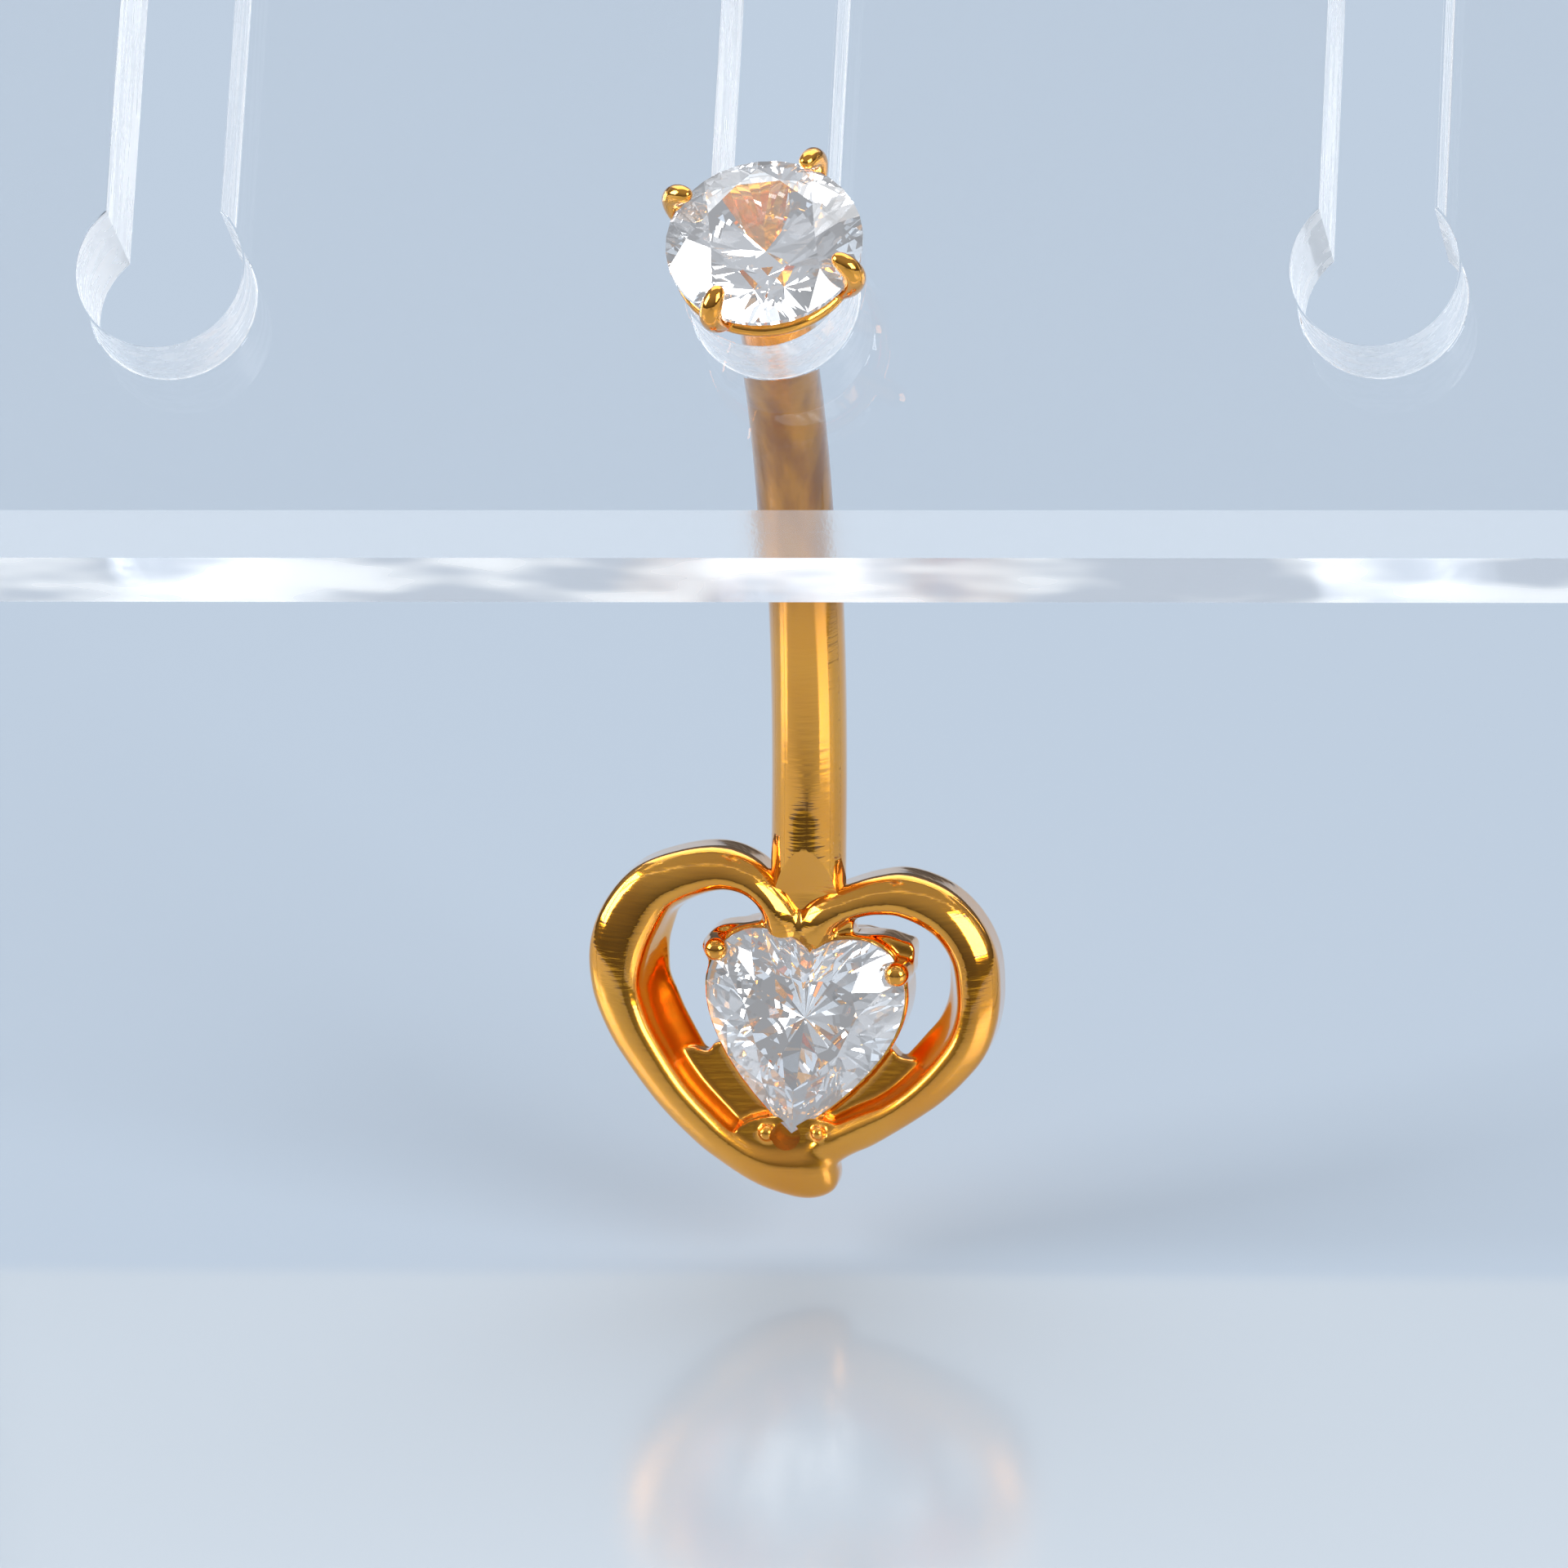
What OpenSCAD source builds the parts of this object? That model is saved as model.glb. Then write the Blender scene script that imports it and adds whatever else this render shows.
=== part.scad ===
// Navel ring with an open heart, hung in the middle keyhole of a clear slanted display stand.
// Millimetres, +Z up, front towards -Y. The origin is the middle of the stand's foot print, on the surface.

/* [Curved bar] */
// Diameter of the bar, 14 gauge
bar_d = 1.6; // [1.2:0.1:1.8]
// Radius of the bend, along the middle of the bar
bend_r = 14.5; // [11:0.5:22]
// Angle of the bend in degrees
bend_angle = 45; // [40:1:50]
// Straight length above the bend
bar_top_len = 2.5; // [2:0.1:5]
// Straight length between the bend and the heart
bar_low_len = 1; // [0.5:0.1:4]
// Length of the mitred tang that is soldered behind the heart's cleft
tang_len = 1.5; // [1.2:0.1:1.7]
// Thickness of the tang behind its mitre
tang_t = 0.55; // [0.45:0.05:0.6]
// Height of the mitre's front tip above the foot of the straight bar
mitre_up = 0.42; // [0.1:0.02:0.5]
// Drop of the mitre from its front tip to the tang
mitre_drop = 1.32; // [0.9:0.02:1.4]

/* [Heart frame] */
// Width of the heart frame
frame_w = 8.9; // [8:0.1:11]
// Height of the heart frame
frame_h = 7.5; // [6.8:0.1:9]
// Widest band of the heart frame, on its left lobe
frame_band = 1.3; // [1:0.05:1.6]
// Depth of the heart frame from front to back
frame_t = 1.35; // [1:0.05:1.6]
// Turn of the heart on the bar, clockwise from the front, in degrees
heart_roll = 5; // [0:1:10]
// From the foot of the straight bar down to the middle of the heart stone
heart_drop = 3.73; // [3.6:0.01:4.2]

/* [Heart stone and its basket] */
// Width of the heart stone
heart_stone_w = 4.25; // [3.8:0.05:4.5]
// Depth of the heart stone below its girdle
heart_pavilion = 1.4; // [1.2:0.05:1.6]
// Place of the heart stone: to the right of the frame's middle, and above it
heart_stone_x = -0.07; // [-0.2:0.01:0.2]
heart_stone_z = 0.09; // [-0.1:0.01:0.2]
// Height of the heart stone's crown above its girdle
heart_crown = 0.55; // [0.4:0.05:0.7]
// Girdle of the heart stone in front of the frame's middle plane
heart_girdle_out = 0.4; // [0.2:0.05:0.5]
// Wall of the heart basket
basket_wall = 0.24; // [0.2:0.02:0.3]
// Back edge of the heart basket behind the frame's middle plane
basket_back = 1.05; // [0.9:0.05:1.3]
// Diameter of the upper round claw tips on the heart stone
bead_d = 0.52; // [0.45:0.01:0.7]

/* [Top stone and its setting] */
// Diameter of the round top stone
round_d = 4.1; // [3.6:0.1:4.6]
// Width of the table as a share of the stone
table_share = 0.57; // [0.5:0.01:0.62]
// Angle of the round stone's crown facets
crown_angle = 34; // [30:1:36]
// Angle of the round stone's pavilion facets
pavilion_angle = 40; // [38:0.5:42]
// Thickness of the girdles
girdle_t = 0.1; // [0.06:0.02:0.16]
// Diameter of the claw wire
claw_d = 0.44; // [0.4:0.02:0.56]
// Turn of the four claws from the right-hand side, in degrees
claw_turn = -24; // [-45:1:45]
// Depth of the gallery wire below the girdle
gallery_drop = 0.54; // [0.48:0.02:0.7]
// Diameter of the gallery wire
gallery_d = 0.3; // [0.2:0.02:0.36]
// Thickness of the plate under the claws
base_t = 0.34; // [0.25:0.01:0.5]
// Diameter of the hidden post in the bar
post_d = 0.9; // [0.7:0.05:1]
// Length of the hidden post
post_len = 1.8; // [1:0.1:2.2]

/* [How the ring hangs] */
// Backward tilt of the heart from upright, in degrees
hang_tilt = 13.4; // [8:0.2:18]
// Sideways lean of the bar to the right, in degrees
hang_lean = 2; // [-3:0.5:3]
// Turn of the ring about the vertical, in degrees
hang_yaw = -0.5; // [-3:0.5:3]
// Distance of the round stone to the right of the keyhole's middle
hang_side = 0.16; // [-0.2:0.02:0.2]
// Room between the heart's tip and the surface below
floor_gap = 1.6; // [1:0.1:6]

/* [Display stand] */
// Thickness of the clear sheet
sheet_t = 3; // [2:0.1:3.4]
// Distance between keyholes
keyhole_pitch = 12.7; // [11:0.1:18]
// Play of the bar in the round end of a keyhole
hole_play = 1.9; // [1.7:0.05:2.4]
// Play of the bar in the slot of a keyhole
slot_play = 0.8; // [0.5:0.05:1]
// Length of the slot above the middle of the round end
slot_len = 10; // [7:0.5:14]
// From the middle of the round end down to the face's lower edge
edge_below = 5.4; // [5:0.1:9]
// Width of the sawn bevel along the face
bevel_face = 0.9; // [0.4:0.05:1.4]
// Depth of the sawn bevel into the lower edge
bevel_depth = 0.4; // [0.2:0.05:1]
// Sheet left above the slots
top_margin = 6; // [3:0.5:12]
// From the middle of an outer keyhole to the end of the sheet
side_margin = 11.5; // [8:0.1:14]
// Radius of the sheet's upper corners
corner_r = 2; // [1:0.5:3]

/* [Fit] */
// Gap kept between pieces that touch on the real thing
gap = 0.03; // [0.02:0.01:0.05]

/* [Hidden] */
$fn = 48;

gold = [0.85, 0.6, 0.15];
clear_stone = [0.92, 0.95, 0.98];
clear_sheet = [0.75, 0.83, 0.88, 0.6];
slant = 45;
sheet_count = 3;

// Rows of the left limb, from the tail's round end up and round the lobe to the cleft. Columns:
// x as a share of frame_w, z as a share of frame_h, band as a share of frame_band,
// depth as a share of frame_t, and flare of the band's inner back edge as a share of frame_band
LEFT_LIMB = [
    [ 0.100, -0.355, 0.15, 0.26, 0.00],
    [ 0.096, -0.359, 0.49, 0.66, 0.00],
    [ 0.085, -0.366, 0.77, 0.88, 0.00],
    [ 0.065, -0.377, 0.94, 0.97, 0.00],
    [ 0.034, -0.387, 0.98, 1.00, 0.00],
    [-0.007, -0.391, 0.89, 1.00, 0.00],
    [-0.054, -0.388, 0.77, 1.00, 0.02],
    [-0.104, -0.372, 0.66, 1.00, 0.08],
    [-0.157, -0.341, 0.63, 1.00, 0.20],
    [-0.209, -0.301, 0.65, 1.00, 0.30],
    [-0.302, -0.207, 0.68, 1.00, 0.38],
    [-0.387, -0.087, 0.75, 1.00, 0.42],
    [-0.429, -0.011, 0.80, 1.00, 0.42],
    [-0.461,  0.080, 0.87, 1.00, 0.36],
    [-0.466,  0.183, 1.00, 1.00, 0.26],
    [-0.445,  0.277, 1.02, 1.00, 0.16],
    [-0.402,  0.363, 0.93, 1.00, 0.10],
    [-0.326,  0.420, 0.82, 1.00, 0.06],
    [-0.247,  0.449, 0.74, 1.00, 0.05],
    [-0.182,  0.440, 0.65, 1.00, 0.05],
    [-0.135,  0.408, 0.57, 1.00, 0.04],
    [-0.101,  0.365, 0.57, 0.98, 0.02],
    [-0.079,  0.315, 0.65, 0.90, 0.00],
    [-0.070,  0.261, 0.65, 0.76, 0.00]];

// Rows of the right limb, from the cleft round the lobe to its end inside the tail, in the same columns
RIGHT_LIMB = [
    [-0.007,  0.259, 0.65, 0.74, 0.00],
    [-0.004,  0.303, 0.71, 0.88, 0.00],
    [ 0.011,  0.347, 0.66, 0.97, 0.01],
    [ 0.052,  0.385, 0.58, 1.00, 0.03],
    [ 0.096,  0.411, 0.59, 1.00, 0.04],
    [ 0.143,  0.429, 0.65, 1.00, 0.05],
    [ 0.202,  0.437, 0.73, 1.00, 0.05],
    [ 0.278,  0.413, 0.77, 1.00, 0.06],
    [ 0.337,  0.364, 0.77, 1.00, 0.08],
    [ 0.380,  0.291, 0.77, 1.00, 0.10],
    [ 0.399,  0.204, 0.75, 1.00, 0.14],
    [ 0.403,  0.117, 0.72, 1.00, 0.20],
    [ 0.387,  0.031, 0.70, 1.00, 0.26],
    [ 0.349, -0.045, 0.66, 1.00, 0.30],
    [ 0.307, -0.108, 0.62, 1.00, 0.30],
    [ 0.262, -0.161, 0.57, 1.00, 0.26],
    [ 0.216, -0.205, 0.57, 1.00, 0.18],
    [ 0.164, -0.245, 0.63, 1.00, 0.10],
    [ 0.116, -0.280, 0.63, 1.00, 0.04],
    [ 0.072, -0.317, 0.65, 0.97, 0.00],
    [ 0.038, -0.355, 0.46, 0.86, 0.00]];

// Corners of a limb's cross-section, inner edge first, then over the crowned front. Columns: distance from
// the middle as a share of half the band, depth as a share of the limb's depth, share of the flare taken
SECTION = [
    [ 0.98,  0.43, 1.00],
    [ 1.00,  0.29, 1.00],
    [ 1.00,  0.06, 0.42],
    [ 0.99, -0.13, 0.08],
    [ 0.91, -0.28, 0.00],
    [ 0.75, -0.40, 0.00],
    [ 0.54, -0.475, 0.00],
    [ 0.32, -0.50, 0.00],
    [ 0.06, -0.49, 0.00],
    [-0.22, -0.455, 0.00],
    [-0.48, -0.405, 0.00],
    [-0.70, -0.35, 0.00],
    [-0.87, -0.29, 0.00],
    [-0.965, -0.225, 0.00],
    [-1.00, -0.14, 0.00],
    [-1.00,  0.43, 0.00],
    [-0.93,  0.50, 0.00],
    [ 0.93,  0.50, 1.00]];

// Curves of the heart stone's right half, from cleft to tip, as shares of half its width
HEART_HALF = [
    [[0, 0.80], [0.10, 0.95], [0.28, 1.01], [0.50, 1.01]],
    [[0.50, 1.01], [0.78, 1.01], [1.00, 0.76], [1.00, 0.42]],
    [[1.00, 0.42], [1.00, -0.05], [0.58, -0.58], [0, -1.03]]];

// Path of one claw: radius and height as shares of the round stone's radius, wire as a share of its diameter
CLAW = [
    [0.26, -0.95, 0.72],
    [0.40, -0.80, 0.94],
    [0.52, -0.62, 1.00],
    [0.66, -0.45, 1.00],
    [0.83, -0.275, 1.00],
    [0.99, -0.10, 1.00],
    [1.055, 0.06, 1.00],
    [1.03,  0.18, 0.98],
    [0.95,  0.252, 0.90],
    [0.87,  0.280, 0.72],
    [0.835, 0.286, 0.42],
    [0.82,  0.288, 0.12]];

bar_r = bar_d / 2;
round_r = round_d / 2;
claw_r = claw_d / 2;
heart_r = heart_stone_w / 2;
hole_r = (bar_d + hole_play) / 2;
slot_w = bar_d + slot_play;

// Derived heights of the round stone: table above the girdle, point below it, and seat above the bar
crown_h = round_r * (1 - table_share) * tan(crown_angle);
pavilion_h = round_r * tan(pavilion_angle);
culet_room = 0.06;
seat_h = girdle_t / 2 + pavilion_h + culet_room + base_t + gap;
gallery_r = round_r * 0.92;

// A point turned about one axis, by the right-hand rule
function turn_x(p, a) = [p[0], p[1] * cos(a) - p[2] * sin(a), p[1] * sin(a) + p[2] * cos(a)];
function turn_y(p, a) = [p[0] * cos(a) + p[2] * sin(a), p[1], p[2] * cos(a) - p[0] * sin(a)];
function turn_z(p, a) = [p[0] * cos(a) - p[1] * sin(a), p[0] * sin(a) + p[1] * cos(a), p[2]];
function hung(p) = turn_z(turn_y(turn_x(p, -hang_tilt), hang_lean), hang_yaw);
// A point of the panel: across, up the slope, and out of the face, from the middle keyhole's round end
function on_panel(p) = turn_x(p, slant);

// The bar in its own frame: the foot of the straight bar at the origin, the bar rising and bending forward
bar_end = [0, bend_r * (cos(bend_angle) - 1) - bar_top_len * sin(bend_angle),
           bar_low_len + bend_r * sin(bend_angle) + bar_top_len * cos(bend_angle)];
bar_axis = turn_x([0, 0, 1], bend_angle);
stone_at = bar_end + seat_h * bar_axis;
tail = LEFT_LIMB[4];
tail_tip = turn_y([tail[0] * frame_w, 0, tail[1] * frame_h - tail[2] * frame_band / 2], heart_roll)
           - [0, 0, heart_drop];

// The gallery wire rests on the face and the bar on the lower wall of the keyhole, at the sheet's back
axis_in = turn_x(hung(bar_axis), -slant);
lean_in = acos(axis_in[2]);
function wire_dip(x) = axis_in[0] * x + axis_in[1] * sqrt(pow(gallery_r, 2) - x * x);
seat_out = gallery_drop * axis_in[2] + gallery_d / 2 + gap
           + max(wire_dip(slot_w / 2 - hang_side), wire_dip(-slot_w / 2 - hang_side));
past_straight = max(0, (seat_out + sheet_t) / cos(lean_in) - seat_h - bar_top_len);
seat_up = (seat_out + sheet_t) * tan(lean_in) - hole_r + bar_r / cos(lean_in) + gap
          + pow(past_straight, 2) / (2 * bend_r);
seat = on_panel([hang_side, seat_up, seat_out]);

// Height of the middle keyhole's round end, on the face, and the stand's depth below the slanted sheet
hole_z = floor_gap - seat[2] - hung(tail_tip - stone_at)[2];
low_end = edge_below + bevel_face;
high_end = slot_len + slot_w / 2 + top_margin;
sheet_w = (sheet_count - 1) * keyhole_pitch + 2 * side_margin;
front_y = min(on_panel([0, -edge_below, 0])[1], on_panel([0, -low_end, -bevel_depth])[1]);
back_y = on_panel([0, high_end, -sheet_t])[1];
hole_at = [0, -(front_y + back_y) / 2, hole_z];
ring_at = hole_at + seat - hung(stone_at);

// Cubic curve, and a smooth curve through rows that passes each row
function bezier(c, t) = c[0] * pow(1 - t, 3) + 3 * c[1] * t * pow(1 - t, 2)
                        + 3 * c[2] * t * t * (1 - t) + c[3] * pow(t, 3);
function row_at(rows, u) =
    let (last = len(rows) - 1, i = min(floor(u), last - 1), t = u - i,
         a = rows[max(i - 1, 0)], b = rows[i], c = rows[i + 1], d = rows[min(i + 2, last)])
    b + t / 2 * (c - a + t * (2 * a - 5 * b + 4 * c - d + t * (3 * (b - c) + d - a)));
function unit(v) = v / norm(v);

// A closed tube of rings of equal size: side walls and two end caps, faces seen clockwise from outside
function tube_faces(rings, sides) = concat(
    [for (i = [0 : rings - 2], k = [0 : sides - 1])
        let (n = (k + 1) % sides)
        [i * sides + k, i * sides + n, (i + 1) * sides + n, (i + 1) * sides + k]],
    [[for (k = [sides - 1 : -1 : 0]) k]],
    [[for (k = [0 : sides - 1]) (rings - 1) * sides + k]]);

module limb(rows, steps) {
    sides = len(SECTION);
    points = [for (i = [0 : steps])
        let (u = (len(rows) - 1) * i / steps, row = row_at(rows, u),
             ahead = row_at(rows, min(u + 0.05, len(rows) - 1)), behind = row_at(rows, max(u - 0.05, 0)),
             along = unit([(ahead[0] - behind[0]) * frame_w, (ahead[1] - behind[1]) * frame_h]))
        for (s = SECTION)
            let (out = (s[0] * row[2] / 2 + s[2] * row[4]) * frame_band)
            [row[0] * frame_w + along[1] * out, s[1] * row[3] * frame_t, row[1] * frame_h - along[0] * out]];
    polyhedron(points, tube_faces(steps + 1, sides));
}

// Points round the heart, right half down and left half up, and the same outline moved outwards
curve_steps = 8;
function heart_half() =
    [for (c = HEART_HALF, i = [0 : curve_steps - 1]) bezier(c, i / curve_steps) * heart_r];
function heart_points() =
    let (half = heart_half(), n = len(half))
    concat(half, [bezier(HEART_HALF[2], 1) * heart_r],
           [for (i = [n - 1 : -1 : 1]) [-half[i][0], half[i][1]]]);
function moved_out(points, d) =
    let (n = len(points))
    [for (i = [0 : n - 1])
        let (t = unit(points[(i + 1) % n] - points[(i + n - 1) % n]))
        points[i] + d * [-t[1], t[0]]];

// In the heart's own frame X runs across, Z up, and the front is -Y
module heart_plate(front, back) {
    translate([0, back, 0]) rotate([90, 0, 0]) linear_extrude(back - front) children();
}

module curved_bar() {
    difference() {
        union() {
            translate([0, 0, -tang_len]) cylinder(h = tang_len + bar_low_len, r = bar_r);
            translate([0, -bend_r, bar_low_len]) {
                rotate([90, 0, 90]) rotate_extrude(angle = bend_angle)
                    translate([bend_r, 0]) circle(r = bar_r);
                rotate([bend_angle, 0, 0]) translate([0, bend_r, -end_overlap])
                    cylinder(h = bar_top_len + end_overlap, r = bar_r - end_turned);
            }
        }
        mitre();
        translate([0, -bend_r, bar_low_len]) rotate([bend_angle, 0, 0])
            translate([0, bend_r, bar_top_len - post_len - 2 * gap])
                cylinder(h = post_len + 1, r = post_d / 2 + gap);
    }
}
// The bar's drilled end is turned down by a hair, and starts this far inside the bend
end_turned = 0.01;
end_overlap = 0.05;

// Everything in front of the slanted cut and the tang, as seen from the right
module mitre() {
    step_y = bar_r - tang_t;
    translate([bar_d, 0, 0]) rotate([90, 0, -90]) linear_extrude(2 * bar_d)
        polygon([[-step_y, mitre_up - mitre_drop], [bar_r, mitre_up], [bar_d, mitre_up + bar_r],
                 [bar_d, -2 * tang_len], [-step_y, -2 * tang_len]]);
}

module heart_frame() {
    limb(LEFT_LIMB, 60);
    limb(RIGHT_LIMB, 46);
}

// Outlines in the heart's own frame: x as a share of frame_w, z as a share of frame_h
LOWER_WEB = [
    [-0.31, -0.14], [-0.272, -0.095], [-0.226, -0.102], [-0.198, -0.070], [-0.05, -0.10],
    [0.08, -0.06], [0.19, -0.008], [0.213, -0.026], [0.236, -0.050], [0.266, -0.053], [0.33, -0.07],
    [0.30, -0.11], [0.217, -0.205], [0.115, -0.288], [0.02, -0.40],
    [-0.104, -0.376], [-0.209, -0.301], [-0.302, -0.207]];
CLEFT_WEB = [
    [-0.112, 0.370], [-0.125, 0.330], [-0.126, 0.300], [-0.150, 0.270], [-0.10, 0.20], [0.08, 0.20],
    [0.120, 0.275], [0.099, 0.296], [0.096, 0.330], [0.100, 0.372], [0.02, 0.345], [-0.040, 0.340]];
TIP_BLOCK = [
    [-0.128, -0.292], [-0.13, -0.36], [-0.05, -0.38], [0.04, -0.38], [0.10, -0.34], [0.115, -0.30],
    [0.125, -0.262], [0.06, -0.24], [-0.06, -0.25]];
LEFT_ROOT = [
    [-0.262, 0.208], [-0.232, 0.266], [-0.171, 0.288], [-0.11, 0.302],
    [-0.11, 0.24], [-0.18, 0.18], [-0.225, 0.155]];
RIGHT_ROOT = [
    [0.09, 0.288], [0.165, 0.303], [0.211, 0.295], [0.246, 0.278],
    [0.243, 0.190], [0.21, 0.165], [0.09, 0.25]];

// A plate in the heart's own frame, between two depths given as shares of frame_t, cut out behind the stone
module heart_slab(outline, front, back) {
    heart_plate(front * frame_t, back * frame_t) difference() {
        polygon([for (r = outline) [r[0] * frame_w, r[1] * frame_h]]);
        polygon(moved_out(heart_points(), -basket_wall / 2));
    }
}

// Thin wall round the back of the heart stone, open inside
module heart_basket() {
    heart_plate(-heart_girdle_out + girdle_t / 2 + basket_wall / 3, basket_back) difference() {
        polygon(moved_out(heart_points(), basket_wall / 4));
        polygon(moved_out(heart_points(), -0.75 * basket_wall));
    }
}

// Front edge of the basket, raised round the two lobes and the cleft
rim_out = 0.045 * heart_r;
module heart_rim() {
    heart_plate(-heart_girdle_out, 0) intersection() {
        difference() {
            polygon(moved_out(heart_points(), rim_out));
            polygon(moved_out(heart_points(), -0.4 * basket_wall));
        }
        translate([-0.64 * heart_r, 0.72 * heart_r]) square([1.22 * heart_r, heart_r]);
    }
}

// Metal between the limbs: round the stone's lower half, at its cleft, and a block with a recess at its point
module heart_webs() {
    heart_slab(LOWER_WEB, 0.02, 0.44);
    heart_slab(CLEFT_WEB, -0.22, 0.40);
    difference() {
        heart_slab(TIP_BLOCK, -0.40, 0.42);
        translate([-0.012 * frame_w, 0, -0.299 * frame_h]) rotate([90, 0, 0])
            cylinder(h = frame_t, r = tip_recess_r);
    }
}
tip_recess_r = 0.24 * frame_band;

// Rows of the four claws: x as a share of frame_w, z as a share of frame_h, size as a share of bead_d,
// and how far the tip reaches in over the stone
HEART_CLAWS = [
    [-0.228,  0.225, 1.00, 0.16],
    [ 0.224,  0.216, 1.04, 0.16],
    [-0.057, -0.296, 0.68, 0.05],
    [ 0.066, -0.278, 0.60, 0.05]];
module heart_claw(row) {
    at = [row[0] * frame_w, row[1] * frame_h];
    bead_r = row[2] * bead_d / 2;
    tip_y = heart_girdle_out + 0.50 * heart_crown;
    inward = unit([0, heart_centre_z * heart_r] - at) * row[3] * bead_d;
    heart_plate(-tip_y, 0.4 * basket_back) translate(at) circle(r = 0.94 * bead_r);
    translate([at[0] + inward[0], -tip_y, at[1] + inward[1]]) sphere(r = bead_r);
}

module bar_and_heart() {
    color(gold) translate(ring_at) rotate([0, 0, hang_yaw]) rotate([0, hang_lean, 0])
    rotate([-hang_tilt, 0, 0]) {
        curved_bar();
        translate([0, 0, -heart_drop]) rotate([0, heart_roll, 0]) difference() {
            union() {
                heart_frame();
                translate([heart_stone_x, 0, heart_stone_z]) {
                    heart_basket();
                    heart_rim();
                    heart_webs();
                    heart_slab(LEFT_ROOT, -0.16, 0.48);
                    heart_slab(RIGHT_ROOT, -0.16, 0.48);
                    for (row = HEART_CLAWS) heart_claw(row);
                }
            }
            heart_room();
        }
    }
}

// Cut gem: rings of table, star, girdle and pavilion corners, joined by flat facets
// outline runs anticlockwise and has a few points for each table corner, the first of them on the main facet
function gem_points(outline, fine, crown, pavilion, table, star, lower) =
    let (n = len(outline) / fine, g = girdle_t / 2)
    concat(
        [for (i = [0 : n - 1]) let (o = outline[fine * i] * table) [o[0], o[1], g + crown]],
        [for (i = [0 : n - 1])
            let (o = outline[fine * i + fine / 2] * star[0]) [o[0], o[1], g + crown * star[1]]],
        [for (o = outline) [o[0], o[1], g]],
        [for (o = outline) [o[0], o[1], -g]],
        [for (i = [0 : n - 1])
            let (o = outline[fine * i + fine / 2] * lower[0]) [o[0], o[1], -g - pavilion * lower[1]]],
        [[0, 0, -g - pavilion]]);
function gem_faces(n, fine) =
    let (all = n * fine, s = n, u = 2 * n, d = u + all, l = d + all, culet = l + n)
    concat(
        [[for (i = [n : -1 : 1]) i % n]],
        [for (i = [0 : n - 1]) [i, (i + 1) % n, s + i]],
        [for (i = [0 : n - 1]) [i, s + i, u + fine * i]],
        [for (i = [0 : n - 1]) [i, u + fine * i, s + (i + n - 1) % n]],
        [for (i = [0 : n - 1], k = [0 : fine - 1])
            [s + i, u + (fine * i + k + 1) % all, u + fine * i + k]],
        [for (i = [0 : all - 1]) [u + i, u + (i + 1) % all, d + (i + 1) % all, d + i]],
        [for (i = [0 : n - 1], k = [0 : fine - 1])
            [d + fine * i + k, d + (fine * i + k + 1) % all, l + i]],
        [for (i = [0 : n - 1]) [d + fine * i, l + i, culet]],
        [for (i = [0 : n - 1]) [d + fine * i, culet, l + (i + n - 1) % n]]);
fine = 4;

// The heart stone stands with its table to the front
heart_centre_z = 0.12;
// Star and lower facet corners: share of the outline, share of the crown's or pavilion's height
HEART_STAR = [0.80, 0.60];
HEART_LOWER = [0.45, 0.60];
module heart_gem(grown = 0) {
    middle = [0, heart_centre_z * heart_r];
    clockwise = moved_out(heart_points(), grown);
    count = len(clockwise);
    outline = [for (i = [count : -1 : 1]) clockwise[i % count] - middle];
    translate([heart_stone_x, 0, heart_stone_z]) rotate([90, 0, 0])
        translate([middle[0], middle[1], heart_girdle_out])
        polyhedron(gem_points(outline, fine, heart_crown + grown, heart_pavilion + grown, table_share,
                              HEART_STAR, HEART_LOWER),
                   gem_faces(count / fine, fine));
}

// The same stone grown by the gap, cut out of the metal as the stone's seat
module heart_room() {
    heart_gem(1.5 * gap);
}

module heart_stone() {
    color(clear_stone) translate(ring_at) rotate([0, 0, hang_yaw]) rotate([0, hang_lean, 0])
        rotate([-hang_tilt, 0, 0]) translate([0, 0, -heart_drop]) rotate([0, heart_roll, 0]) heart_gem();
}

// Places its children on the bar's end, with their Z along the bar
module on_bar_end() {
    translate(ring_at) rotate([0, 0, hang_yaw]) rotate([0, hang_lean, 0]) rotate([-hang_tilt, 0, 0])
        translate(bar_end) rotate([bend_angle, 0, 0]) children();
}

module round_gem() {
    half_step = 180 / 8;
    outline = [for (i = [0 : 8 * fine - 1])
        let (a = 360 * i / (8 * fine)) round_r * [cos(a), sin(a)]];
    star_r = (1 + table_share) / 2 * 0.98;
    lower_r = 0.25;
    polyhedron(gem_points(outline, fine, crown_h, pavilion_h, table_share,
                          [star_r, (1 - star_r * cos(half_step)) / (1 - table_share)],
                          [lower_r, 1 - lower_r * cos(half_step)]),
               gem_faces(8, fine));
}

module top_stone() {
    color(clear_stone) on_bar_end() translate([0, 0, seat_h]) rotate([0, 0, claw_turn + 11.25]) round_gem();
}

// One claw in the XZ plane: a tube of twelve sides from the base plate over the girdle
module claw() {
    sides = 12;
    steps = 26;
    points = [for (i = [0 : steps])
        let (u = (len(CLAW) - 1) * i / steps, row = row_at(CLAW, u),
             ahead = row_at(CLAW, min(u + 0.05, len(CLAW) - 1)), behind = row_at(CLAW, max(u - 0.05, 0)),
             along = unit([ahead[0] - behind[0], ahead[1] - behind[1]]))
        for (k = [0 : sides - 1])
            let (a = 360 * k / sides, r = row[2] * claw_r)
            [row[0] * round_r + r * cos(a) * along[1], -r * sin(a),
             row[1] * round_r - r * cos(a) * along[0]]];
    polyhedron(points, tube_faces(steps + 1, sides));
}

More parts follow.
